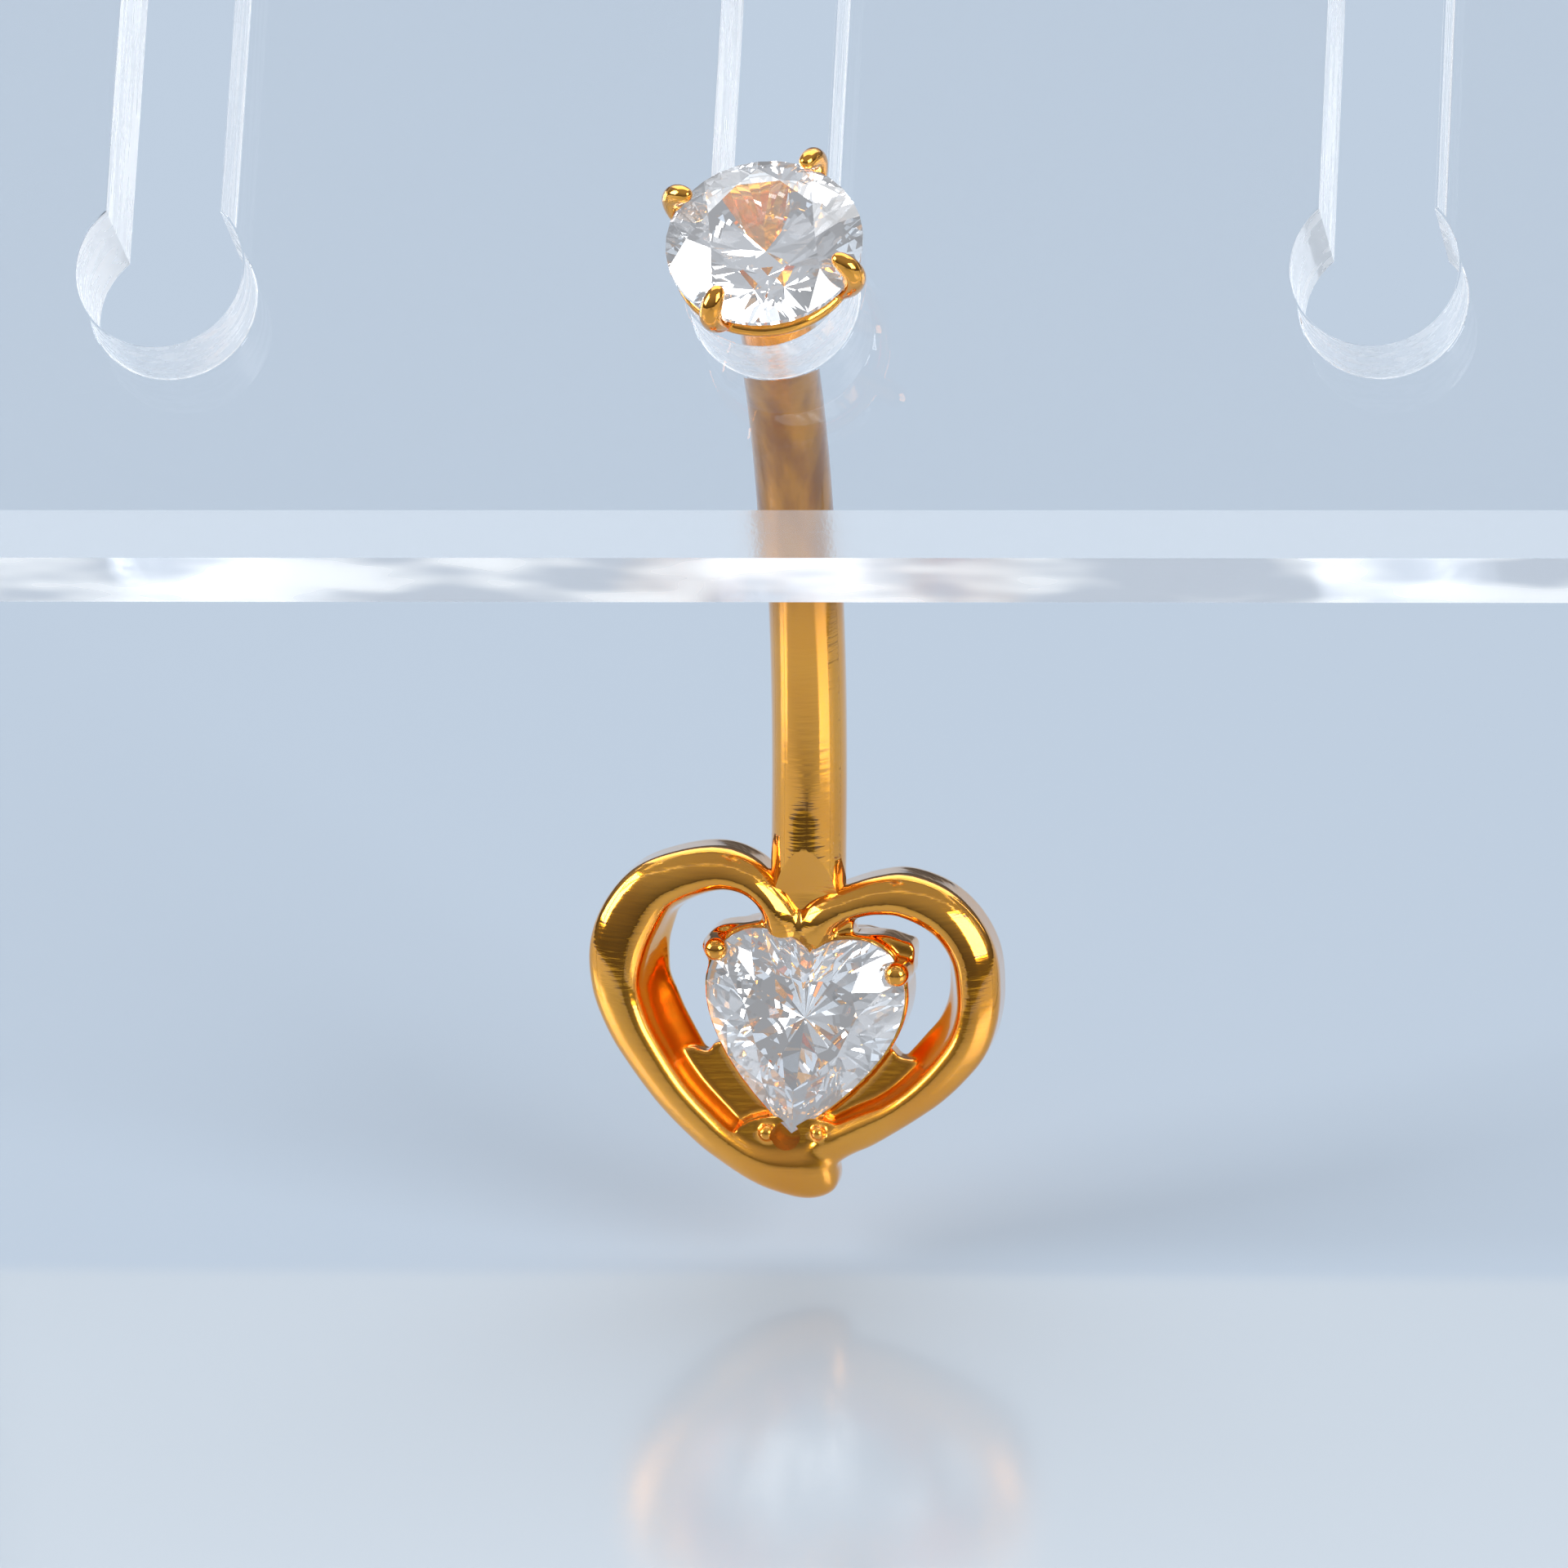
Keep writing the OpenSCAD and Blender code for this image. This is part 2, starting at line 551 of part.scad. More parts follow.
// Room for the round stone inside the claws, as a turned profile
module round_room() {
    g = girdle_t / 2 + gap;
    r = round_r + gap;
    rotate_extrude()
        polygon([[0, -g - pavilion_h], [r, -g], [r, g], [r - crown_h / tan(crown_angle), g + crown_h],
                 [0, g + crown_h]]);
}

module top_setting() {
    base_r = 0.42 * round_r;
    color(gold) on_bar_end() {
        translate([0, 0, -post_len]) cylinder(h = post_len + base_t, r = post_d / 2);
        translate([0, 0, gap]) cylinder(h = base_t, r = base_r);
        translate([0, 0, seat_h]) {
            translate([0, 0, -gallery_drop]) rotate_extrude()
                translate([gallery_r, 0]) circle(r = gallery_d / 2);
            difference() {
                for (k = [0 : 3]) rotate([0, 0, claw_turn + 90 * k]) claw();
                round_room();
            }
        }
    }
}

// Outline of one keyhole in the sheet, its round end at the origin
module keyhole() {
    circle(r = hole_r);
    translate([-slot_w / 2, 0]) square([slot_w, slot_len]);
    translate([0, slot_len]) circle(d = slot_w);
}

module sheet_outline() {
    hull() {
        translate([-sheet_w / 2, -low_end]) square([sheet_w, low_end]);
        for (side = [-1, 1])
            translate([side * (sheet_w / 2 - corner_r), high_end - corner_r]) circle(r = corner_r);
    }
}

module slanted_panel() {
    color(clear_sheet) translate(hole_at) rotate([slant, 0, 0]) difference() {
        translate([0, 0, -sheet_t]) linear_extrude(sheet_t) difference() {
            sheet_outline();
            for (i = [-1 : 1]) translate([i * keyhole_pitch, 0]) keyhole();
        }
        translate([-sheet_w, 0, 0]) rotate([90, 0, 90]) linear_extrude(2 * sheet_w)
            polygon([[-edge_below, 0], [-low_end, -bevel_depth], [-low_end - 1, -bevel_depth],
                     [-low_end - 1, 1], [-edge_below, 1]]);
    }
}

// Upright side piece under one end of the sheet: its top edge follows the sheet's back
module cheek(side) {
    low = hole_at + on_panel([0, -low_end, -sheet_t - gap]);
    high = hole_at + on_panel([0, high_end - corner_r, -sheet_t - gap]);
    heel_y = hole_at[1] + front_y;
    color(clear_sheet) translate([side * (sheet_w - sheet_t) / 2 - sheet_t / 2, 0, 0])
        rotate([90, 0, 90]) linear_extrude(sheet_t)
            polygon([[heel_y, 0], [heel_y, low[2] - 2 * sheet_t], [low[1], low[2]], [high[1], high[2]],
                     [-heel_y, high[2] - 2 * sheet_t], [-heel_y, 0]]);
}

module left_cheek() { cheek(-1); }
module right_cheek() { cheek(1); }

bar_and_heart();
heart_stone();
top_setting();
top_stone();
slanted_panel();
left_cheek();
right_cheek();
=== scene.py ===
"""Navel ring with an open heart, hung in the middle keyhole of a clear slanted display stand.

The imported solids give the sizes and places. The gold parts and the slanted sheet are made again here with
cast, bent and polished surfaces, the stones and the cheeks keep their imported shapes, and each gets its own
finish. Lengths in the sections are millimetres, and become metres when a piece is put in place.
"""

import math

import bmesh
import bpy
import numpy as np
from mathutils import Matrix, Vector


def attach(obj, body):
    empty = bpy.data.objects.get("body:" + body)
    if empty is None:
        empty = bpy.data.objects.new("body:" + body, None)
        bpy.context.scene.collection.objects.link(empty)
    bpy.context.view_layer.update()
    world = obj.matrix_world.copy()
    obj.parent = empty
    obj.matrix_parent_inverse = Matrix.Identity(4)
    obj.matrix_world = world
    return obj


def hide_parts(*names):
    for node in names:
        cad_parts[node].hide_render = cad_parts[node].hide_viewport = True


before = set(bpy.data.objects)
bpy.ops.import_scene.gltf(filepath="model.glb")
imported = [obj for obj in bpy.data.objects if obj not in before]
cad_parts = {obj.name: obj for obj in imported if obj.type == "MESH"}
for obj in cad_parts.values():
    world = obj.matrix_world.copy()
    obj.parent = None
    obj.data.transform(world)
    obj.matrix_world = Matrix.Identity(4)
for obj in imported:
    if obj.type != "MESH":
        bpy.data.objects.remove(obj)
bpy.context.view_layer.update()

# Camera.
# It stands 373 mm from the middle keyhole and looks slightly down and from the right, as the photograph does.
# The picture's middle lies a little to the right of the keyhole and far below it.
keyhole_at = Vector((0.0, -5.0558, 23.7718))
distance = 373.0
pixels_a_mm = 59.2
frame_pixels = 1920.0
sensor = 36.0
middle_right, middle_up = 0.42, -10.70
right = Vector((0.9896, 0.1314, -0.0580)).normalized()
back = Vector((0.1435, -0.8990, 0.4138)).normalized()
up = back.cross(right).normalized()
right = up.cross(back)
camera = bpy.data.objects.new("camera", bpy.data.cameras.new("camera"))
camera.data.sensor_width = sensor
camera.data.lens = sensor * pixels_a_mm * distance / frame_pixels
camera.data.clip_start = 0.01
camera.data.clip_end = 20.0
stands_at = (keyhole_at + middle_right * right + middle_up * up + distance * back) / 1000
camera.matrix_world = Matrix((
    (right.x, up.x, back.x, stands_at.x),
    (right.y, up.y, back.y, stands_at.y),
    (right.z, up.z, back.z, stands_at.z),
    (0, 0, 0, 1)))
bpy.context.scene.collection.objects.link(camera)
bpy.context.scene.camera = camera

# Curved bar.
# A round steel rod, bent round a former at its upper end and plated with deep yellow gold. Its foot is ground
# to a dished slanted face and a thin tang, soldered behind the cleft of the heart, and its top is drilled.
BAR_R = 0.8
BEND_R = 14.5
BEND_ANGLE = 45.0
BAR_TOP = 2.5
BAR_LOW = 1.0
TANG = 1.5
TANG_T = 0.55
MITRE_UP = 0.42
MITRE_DROP = 1.32
MITRE_DISH = 0.16
POST_R = 0.45
POST_LEN = 1.8
BORE_R = POST_R + 0.03


def turned(axis, angle):
    """The matrix of a turn by an angle in degrees about the X, Y or Z axis, by the right-hand rule."""
    return np.array(Matrix.Rotation(math.radians(angle), 3, axis))


# The ring hangs from its claws: the middle of the straight bar's foot, and how the ring leans
RING = np.array([-0.361287, -1.781339, 8.679586])
HUNG = turned("Z", -0.5) @ turned("Y", 2.0) @ turned("X", -13.4)


def outward(points, faces):
    """Turns all faces over if the closed surface is inside out.

    Each face is split into triangles from its first corner. The sum of their box products a . (b x c) is six
    times the volume, which is negative where the faces look inwards.
    """
    split = np.array([(face[0], face[j], face[j + 1]) for face in faces for j in range(1, len(face) - 1)])
    a, b, c = (points[split[:, j]] for j in range(3))
    if np.einsum("ij,ij->", a, np.cross(b, c)) < 0:
        faces = [face[::-1] for face in faces]
    return points, faces


def tube(rings):
    """A closed surface on a grid of rings.

    Point (i, k) is corner k of ring i. A square face joins it to ring i + 1 and corner k + 1, the corners run
    round, and a fan to the middle of the first and of the last ring closes the ends.
    """
    rings = np.asarray(rings, float)
    steps, sides = rings.shape[:2]
    points = np.concatenate([rings.reshape(-1, 3), [rings[0].mean(0)], [rings[-1].mean(0)]])
    i, k = np.meshgrid(np.arange(steps - 1), np.arange(sides), indexing="ij")
    n = (k + 1) % sides
    squares = np.stack([i * sides + k, i * sides + n, (i + 1) * sides + n, (i + 1) * sides + k], -1)
    k = np.arange(sides)
    n = (k + 1) % sides
    first = np.stack([np.full(sides, steps * sides), n, k], -1)
    last = np.stack([np.full(sides, steps * sides + 1), (steps - 1) * sides + k, (steps - 1) * sides + n], -1)
    return outward(points, squares.reshape(-1, 4).tolist() + first.tolist() + last.tolist())


def as_object(name, shells):
    """One mesh object from closed surfaces: their points in a row, and their faces' numbers moved up."""
    points, faces = [], []
    for shell_points, shell_faces in shells:
        start = sum(len(p) for p in points)
        points.append(shell_points)
        faces += [[start + corner for corner in face] for face in shell_faces]
    mesh = bpy.data.meshes.new(name)
    mesh.from_pydata(np.concatenate(points).tolist(), [], faces)
    mesh.validate()
    thing = bpy.data.objects.new(name, mesh)
    bpy.context.scene.collection.objects.link(thing)
    return thing


def finished(thing, *helpers):
    """Makes the modifiers' result the object's own mesh, and removes the objects that they used."""
    graph = bpy.context.evaluated_depsgraph_get()
    graph.update()
    mesh = bpy.data.meshes.new_from_object(thing.evaluated_get(graph))
    mesh.name = thing.name
    thing.modifiers.clear()
    old = thing.data
    thing.data = mesh
    bpy.data.meshes.remove(old)
    for helper in helpers:
        bpy.data.objects.remove(helper)
    return thing


def cut(thing, *tools):
    """Takes the tools' solids out of the thing, one after the other."""
    for tool in tools:
        knife = thing.modifiers.new("cut", "BOOLEAN")
        knife.operation = "DIFFERENCE"
        knife.solver = "EXACT"
        knife.object = tool
    return finished(thing, *tools)


def put(thing, matrix, origin, crease=35.0):
    """Turns and moves the points in millimetres, makes them metres, and smooths the shading."""
    mesh = thing.data
    points = np.empty(len(mesh.vertices) * 3)
    mesh.vertices.foreach_get("co", points)
    points = (points.reshape(-1, 3) @ matrix.T + origin) / 1000
    mesh.vertices.foreach_set("co", points.ravel())
    mesh.update()
    mesh.shade_smooth()
    mesh.set_sharp_from_angle(angle=math.radians(crease))
    return thing


class Sock:
    """A number that a finish works out at each point, added and multiplied as numbers are."""

    def __init__(self, finish, link):
        self.finish = finish
        self.link = link

    def maths(self, operation, a, b=0.0):
        """One step of arithmetic on two numbers."""
        return self.finish.node("ShaderNodeMath", {"operation": operation}, {0: a, 1: b})

    def __add__(self, other):
        return self.maths("ADD", self, other)

    def __sub__(self, other):
        return self.maths("SUBTRACT", self, other)

    def __rsub__(self, other):
        return self.maths("SUBTRACT", other, self)

    def __mul__(self, other):
        return self.maths("MULTIPLY", self, other)

    __radd__ = __add__
    __rmul__ = __mul__

    def between(self, low, high):
        """0 at low and 1 at high, with a soft step between them."""
        return self.finish.node("ShaderNodeMapRange", {"interpolation_type": "SMOOTHSTEP"},
                                {0: self, 1: low, 2: high})


class Finish:
    """One material with its main shader, and the one way in which its nodes are added and joined."""

    def __init__(self, name, **fixed):
        self.material = bpy.data.materials.new(name)
        self.material.use_nodes = True
        self.tree = self.material.node_tree
        self.shader = self.tree.nodes["Principled BSDF"]
        for socket, value in fixed.items():
            self.shader.inputs[socket.replace("_", " ")].default_value = value

    def node(self, kind, settings, values, output=0):
        """Adds a node, fills its inputs with fixed values or links, and gives one of its outputs."""
        made = self.tree.nodes.new(kind)
        for name, value in settings.items():
            setattr(made, name, value)
        for name, value in values.items():
            if isinstance(value, Sock):
                self.tree.links.new(value.link, made.inputs[name])
            else:
                made.inputs[name].default_value = value
        return Sock(self, made.outputs[output])

    def place(self, stretch=(1.0, 1.0, 1.0), turn=(0.0, 0.0, 0.0)):
        """The object's own coordinates in metres, turned and then stretched."""
        here = self.node("ShaderNodeTexCoord", {}, {}, "Object")
        if turn != (0.0, 0.0, 0.0):
            here = self.node("ShaderNodeMapping", {}, {"Vector": here, "Rotation": turn})
        return self.node("ShaderNodeMapping", {}, {"Vector": here, "Scale": stretch})

    def axis(self, name):
        """One of the object's own coordinates, in metres."""
        return self.node("ShaderNodeSeparateXYZ", {}, {0: self.place()}, name)

    def cloud(self, scale, detail=3.0, stretch=(1.0, 1.0, 1.0), turn=(0.0, 0.0, 0.0)):
        """Soft noise from 0 to 1 whose blots are about a metre over scale wide."""
        return self.node("ShaderNodeTexNoise", {},
                         {"Vector": self.place(stretch, turn), "Scale": scale, "Detail": detail}, "Fac")

    def blend(self, share, first, second):
        """The first colour where share is 0, and the second where it is 1."""
        first, second = (c if isinstance(c, Sock) else (*c, 1.0) for c in (first, second))
        return self.node("ShaderNodeMix", {"data_type": "RGBA"}, {0: share, 6: first, 7: second}, 2)

    def feed(self, socket, value):
        """Lets a number or colour that varies drive one input of the main shader."""
        self.tree.links.new(value.link, self.shader.inputs[socket])

    def relief(self, height, strength, distance):
        """Bumps that rise by the distance in metres where the height is 1."""
        self.feed("Normal", self.node("ShaderNodeBump", {},
                                      {"Strength": strength, "Distance": distance, "Height": height}))

    def lets_light_through(self, tint):
        """Shadow rays and rays that light other surfaces softly go straight on through the piece, tinted."""
        rays = [self.node("ShaderNodeLightPath", {}, {}, name)
                for name in ("Is Shadow Ray", "Is Diffuse Ray")]
        clear = self.node("ShaderNodeBsdfTransparent", {}, {"Color": (*tint, 1.0)})
        either = rays[0].maths("MAXIMUM", *rays)
        mixed = self.node("ShaderNodeMixShader", {},
                          {0: either, 1: Sock(self, self.shader.outputs[0]), 2: clear})
        self.tree.links.new(mixed.link, self.tree.nodes["Material Output"].inputs["Surface"])

    def on(self, thing):
        """Makes this the only material of an object."""
        thing.data.materials.clear()
        thing.data.materials.append(self.material)


def bent_bar():
    """A circle carried along the bar's middle line, which is straight, then an arc, then straight again.

    At arc angle a the middle is (0, R cos a - R, L + R sin a), and the circle lies across (0, -sin a, cos a).
    At the top the rings narrow to the drilled hole and run back down inside it.
    """
    top = BAR_TOP
    foot = np.linspace(-TANG, 0, 25)
    lower = np.linspace(0.05, BAR_LOW, 16)
    arc = np.radians(np.linspace(0, BEND_ANGLE, 160)[1:])
    upper = np.append(np.linspace(0, top - 0.06, 24)[1:],
                      [top - 0.04, top - 0.015, top, top, top, top - POST_LEN])
    thick = np.append(np.full(23, BAR_R),
                      [BAR_R - 0.005, BAR_R - 0.02, BAR_R - 0.05, BORE_R + 0.02, BORE_R, BORE_R])
    end = math.radians(BEND_ANGLE)
    y = np.concatenate([0 * foot, 0 * lower, BEND_R * np.cos(arc) - BEND_R,
                        BEND_R * math.cos(end) - BEND_R - upper * math.sin(end)])
    z = np.concatenate([foot, lower, BAR_LOW + BEND_R * np.sin(arc),
                        BAR_LOW + BEND_R * math.sin(end) + upper * math.cos(end)])
    lean = np.concatenate([0 * foot, 0 * lower, arc, np.full(len(upper), end)])
    r = np.concatenate([np.full(len(foot) + len(lower) + len(arc), BAR_R), thick])
    round_ = np.linspace(0, 2 * math.pi, 96, endpoint=False)
    across, through = np.cos(round_)[None], np.sin(round_)[None]
    return tube(np.stack([r[:, None] * across,
                          y[:, None] + r[:, None] * through * np.cos(lean)[:, None],
                          z[:, None] + r[:, None] * through * np.sin(lean)[:, None]], -1))


def mitre_tool():
    """The solid that is ground off in front of the foot.

    Its face runs down from above the front tip to the tang. It is hollowed by the dish times 1 - (x / r)^2,
    taken 0.85 to the back and 0.5 up, which fades out over the last third. The hollow lifts the tip, so the
    face starts that much lower. From the tang it goes straight down, then out to the front and back up.
    """
    x = np.linspace(-1.3 * BAR_R, 1.3 * BAR_R, 41)
    slope = np.linspace(-0.5, 1, 36)
    step_y = -(BAR_R - TANG_T)
    hollow = MITRE_DISH * np.clip(1 - (x / BAR_R) ** 2, -0.4, 1)
    deep = np.clip(3 * (1 - slope), 0, 1)
    y = -BAR_R + slope * (BAR_R + step_y)
    z = MITRE_UP - 2.4 * MITRE_DISH - slope * (MITRE_DROP - 1.5 * MITRE_DISH)
    face_y = y[None] + hollow[:, None] * deep[None] * 0.85
    face_z = z[None] + hollow[:, None] * deep[None] * 0.5
    rest_y = np.array([step_y, -2.5, -2.5, y[0] - 0.05])
    rest_z = np.array([-2.6, -2.6, z[0] + 0.3, z[0] + 0.3])
    y = np.concatenate([face_y, np.broadcast_to(rest_y, (len(x), 4))], 1)
    z = np.concatenate([face_z, np.broadcast_to(rest_z, (len(x), 4))], 1)
    return tube(np.stack([np.broadcast_to(x[:, None], y.shape), y, z], -1))


# Heights above the floor, in metres, over which the gold's finish changes from one kind to the next
HEART_FOOT = (0.0045, 0.0075)
# From the first pair of heights to the second, the bend is seen through the sheet, and there its gold is
# painted darker as shade
SHADE_UNDER_SHEET_BEGINS = (0.0135, 0.0160)
SHADE_UNDER_SHEET_ENDS = (0.0215, 0.0225)

gold = Finish("gold_plate", Metallic=1.0, Coat_Weight=1.0, Coat_IOR=1.6, Coat_Roughness=0.03)
patches = gold.cloud(420.0, 2.0)
grain = gold.cloud(9000.0, 2.0, (0.12, 0.12, 1.0))
above_floor = gold.axis("Z")
low_on_heart = 1 - above_floor.between(*HEART_FOOT)
# Painted shade: where the bend is seen through the sheet, up to the keyhole, it is painted darker and browner
# in streaks along its length, and made rougher
painted_shade_under_sheet = above_floor.between(*SHADE_UNDER_SHEET_BEGINS) * (1 - above_floor.between(*SHADE_UNDER_SHEET_ENDS))
streaks_in_shade = gold.cloud(1500.0, 4.0, (1.0, 1.0, 0.22)).between(0.35, 0.65)
polished = gold.blend(patches.between(0.3, 0.7), (0.94, 0.365, 0.015), (1.0, 0.43, 0.03))
# The painted shade's dark browns, in streaks along the bend
shaded_gold_under_sheet = gold.blend(streaks_in_shade, (0.40, 0.13, 0.006), (0.70, 0.27, 0.015))
gold.feed("Base Color", gold.blend(painted_shade_under_sheet, polished, shaded_gold_under_sheet))
gold.feed("Roughness", 0.07 + 0.05 * patches + low_on_heart * 0.16 + painted_shade_under_sheet * 0.2)
# Polishing marks run level, round the rod and across the heart, and spread each light up and down
gold.relief(grain, 0.5, 0.000012)

bar = cut(as_object("curved_bar", [bent_bar()]), as_object("mitre", [mitre_tool()]))
put(bar, HUNG, RING)
gold.on(bar)
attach(bar, "root")
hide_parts("bar_and_heart")

# Cast heart.
# Two crowned bands meet at the cleft and run into one rounded tail. With the thin basket round the stone, the
# webs, the ball claws and the recess under the stone's point they are cast in one piece, polished and plated.
HEART_W = 8.9
HEART_H = 7.5
BAND = 1.3
DEPTH = 1.35
HEART_ROLL = 5.0
HEART_DROP = 3.73
STONE_W = 4.25
STONE_R = STONE_W / 2
STONE_MIDDLE = np.array([0.0, 0.12 * STONE_R])
STONE_AT = np.array([-0.07, 0.0, 0.09])
STONE_TABLE = 0.57
GIRDLE_OUT = 0.4
GIRDLE_HALF = 0.05
CROWN = 0.55
PAVILION = 1.4
BASKET_WALL = 0.24
BASKET_BACK = 1.05
BEAD_D = 0.52
RECESS_R = 0.24 * BAND
SEAT_PLAY = 0.045
HEART_TURN = HUNG @ turned("Y", HEART_ROLL)
HEART_AT = RING + HUNG @ np.array([0.0, 0.0, -HEART_DROP])

# Rows along each band. Columns: x as a share of the heart's width, z of its height, band of the widest band,
# depth of the heart's depth, and flare of the inner back edge as a share of the band
LEFT_BAND = [
    (0.100, -0.355, 0.15, 0.26, 0.00),
    (0.096, -0.359, 0.49, 0.66, 0.00),
    (0.085, -0.366, 0.77, 0.88, 0.00),
    (0.065, -0.377, 0.94, 0.97, 0.00),
    (0.034, -0.387, 0.98, 1.00, 0.00),
    (-0.007, -0.391, 0.89, 1.00, 0.00),
    (-0.054, -0.388, 0.77, 1.00, 0.02),
    (-0.104, -0.372, 0.66, 1.00, 0.08),
    (-0.157, -0.341, 0.63, 1.00, 0.20),
    (-0.209, -0.301, 0.65, 1.00, 0.30),
    (-0.302, -0.207, 0.68, 1.00, 0.38),
    (-0.387, -0.087, 0.75, 1.00, 0.42),
    (-0.429, -0.011, 0.80, 1.00, 0.42),
    (-0.461, 0.080, 0.87, 1.00, 0.36),
    (-0.466, 0.183, 1.00, 1.00, 0.26),
    (-0.445, 0.277, 1.02, 1.00, 0.16),
    (-0.402, 0.363, 0.93, 1.00, 0.10),
    (-0.326, 0.420, 0.82, 1.00, 0.06),
    (-0.247, 0.449, 0.74, 1.00, 0.05),
    (-0.182, 0.440, 0.65, 1.00, 0.05),
    (-0.135, 0.408, 0.57, 1.00, 0.04),
    (-0.101, 0.365, 0.57, 0.98, 0.02),
    (-0.079, 0.315, 0.65, 0.90, 0.00),
    (-0.070, 0.261, 0.65, 0.76, 0.00)]
RIGHT_BAND = [
    (-0.007, 0.259, 0.65, 0.74, 0.00),
    (-0.004, 0.303, 0.71, 0.88, 0.00),
    (0.011, 0.347, 0.66, 0.97, 0.01),
    (0.052, 0.385, 0.58, 1.00, 0.03),
    (0.096, 0.411, 0.59, 1.00, 0.04),
    (0.143, 0.429, 0.65, 1.00, 0.05),
    (0.202, 0.437, 0.73, 1.00, 0.05),
    (0.278, 0.413, 0.77, 1.00, 0.06),
    (0.337, 0.364, 0.77, 1.00, 0.08),
    (0.380, 0.291, 0.77, 1.00, 0.10),
    (0.399, 0.204, 0.75, 1.00, 0.14),
    (0.403, 0.117, 0.72, 1.00, 0.20),
    (0.387, 0.031, 0.70, 1.00, 0.26),
    (0.349, -0.045, 0.66, 1.00, 0.30),
    (0.307, -0.108, 0.62, 1.00, 0.30),
    (0.262, -0.161, 0.57, 1.00, 0.26),
    (0.216, -0.205, 0.57, 1.00, 0.18),
    (0.164, -0.245, 0.63, 1.00, 0.10),
    (0.116, -0.280, 0.63, 1.00, 0.04),
    (0.072, -0.317, 0.65, 0.97, 0.00),
    (0.038, -0.355, 0.46, 0.86, 0.00)]

# The band's section, inner edge first, then over the crowned front and round the flat back. Columns: distance
# from the middle as a share of half the band, depth as a share of the row's, and share of the flare taken
BAND_SECTION = [
    (0.98, 0.43, 1.00), (1.00, 0.29, 1.00), (1.00, 0.06, 0.42), (0.99, -0.13, 0.08),
    (0.91, -0.28, 0.00), (0.75, -0.40, 0.00), (0.54, -0.475, 0.00), (0.32, -0.50, 0.00),
    (0.06, -0.49, 0.00), (-0.22, -0.455, 0.00), (-0.48, -0.405, 0.00), (-0.70, -0.35, 0.00),
    (-0.87, -0.29, 0.00), (-0.965, -0.225, 0.00), (-1.00, -0.14, 0.00), (-1.00, 0.04, 0.00),
    (-1.00, 0.24, 0.00), (-1.00, 0.43, 0.00), (-0.93, 0.50, 0.00),
    (-0.6, 0.50, 0.20), (-0.2, 0.50, 0.45), (0.2, 0.50, 0.65), (0.6, 0.50, 0.85), (0.93, 0.50, 1.00)]


def through(rows, at, closed=False):
    """A smooth curve that passes each row: at i + t it is a cubic of t whose slope at a row is half the
    step from the row before it to the row after it."""
    rows = np.asarray(rows, float)
    count = len(rows)
    at = np.asarray(at, float)
    i = np.floor(at).astype(int)
    if not closed:
        i = np.minimum(i, count - 2)
    t = (at - i)[:, None]
    pick = (lambda j: rows[j % count]) if closed else (lambda j: rows[np.clip(j, 0, count - 1)])
    a, b, c, d = pick(i - 1), pick(i), pick(i + 1), pick(i + 2)
    return b + t / 2 * (c - a + t * (2 * a - 5 * b + 4 * c - d + t * (3 * (b - c) + d - a)))


def band(rows, steps):
    """The section carried along a band's middle line. A corner lies out from the line, across its
    direction, by its share of half the band and of the flare, and back by its share of the depth."""
    at = np.linspace(0, len(rows) - 1, steps)
    row = through(rows, at)
    ahead = through(rows, np.minimum(at + 0.05, len(rows) - 1))
    behind = through(rows, np.maximum(at - 0.05, 0))
    along = (ahead - behind)[:, :2] * (HEART_W, HEART_H)
    along /= np.linalg.norm(along, axis=1, keepdims=True)
    section = through(BAND_SECTION, np.arange(0, len(BAND_SECTION), 1 / 3), closed=True)
    out = (section[None, :, 0] * row[:, None, 2] / 2 + section[None, :, 2] * row[:, None, 4]) * BAND
    return tube(np.stack([row[:, None, 0] * HEART_W + along[:, None, 1] * out,
                          section[None, :, 1] * row[:, None, 3] * DEPTH,
                          row[:, None, 1] * HEART_H - along[:, None, 0] * out], -1))


# Curves of the stone's right half, from cleft to tip, as shares of half its width
STONE_HALF = np.array([
    [(0, 0.80), (0.10, 0.95), (0.28, 1.01), (0.50, 1.01)],
    [(0.50, 1.01), (0.78, 1.01), (1.00, 0.76), (1.00, 0.42)],
    [(1.00, 0.42), (1.00, -0.05), (0.58, -0.58), (0, -1.03)]])


def stone_outline(steps, out=0.0):
    """Points round the stone from its cleft, clockwise: three cubic curves down the right half and their
    mirror images up the left, each moved outwards by out along the line across its neighbours' step."""
    t = np.arange(steps)[:, None] / steps
    share = [(1 - t) ** 3, 3 * t * (1 - t) ** 2, 3 * t * t * (1 - t), t ** 3]
    half = np.concatenate([sum(w * p for w, p in zip(share, curve)) for curve in STONE_HALF])
    points = np.concatenate([half, [STONE_HALF[2, 3]], half[:0:-1] * (-1, 1)]) * STONE_R
    step = np.roll(points, -1, 0) - np.roll(points, 1, 0)
    step /= np.linalg.norm(step, axis=1, keepdims=True)
    return points + out * np.stack([-step[:, 1], step[:, 0]], -1)


def plate(outline, front, back_, at=(0.0, 0.0, 0.0)):
    """A flat plate: an outline across and up, carried from the depth in front to the depth at the back."""
    outline = np.asarray(outline, float)
    count = len(outline)
    points = np.concatenate([np.insert(outline, 1, depth, axis=1) for depth in (front, back_)]) + at
    k = np.arange(count)
    n = (k + 1) % count
    walls = np.stack([k, k + count, n + count, n], -1).tolist()
    return outward(points, walls + [k.tolist(), (k[::-1] + count).tolist()])


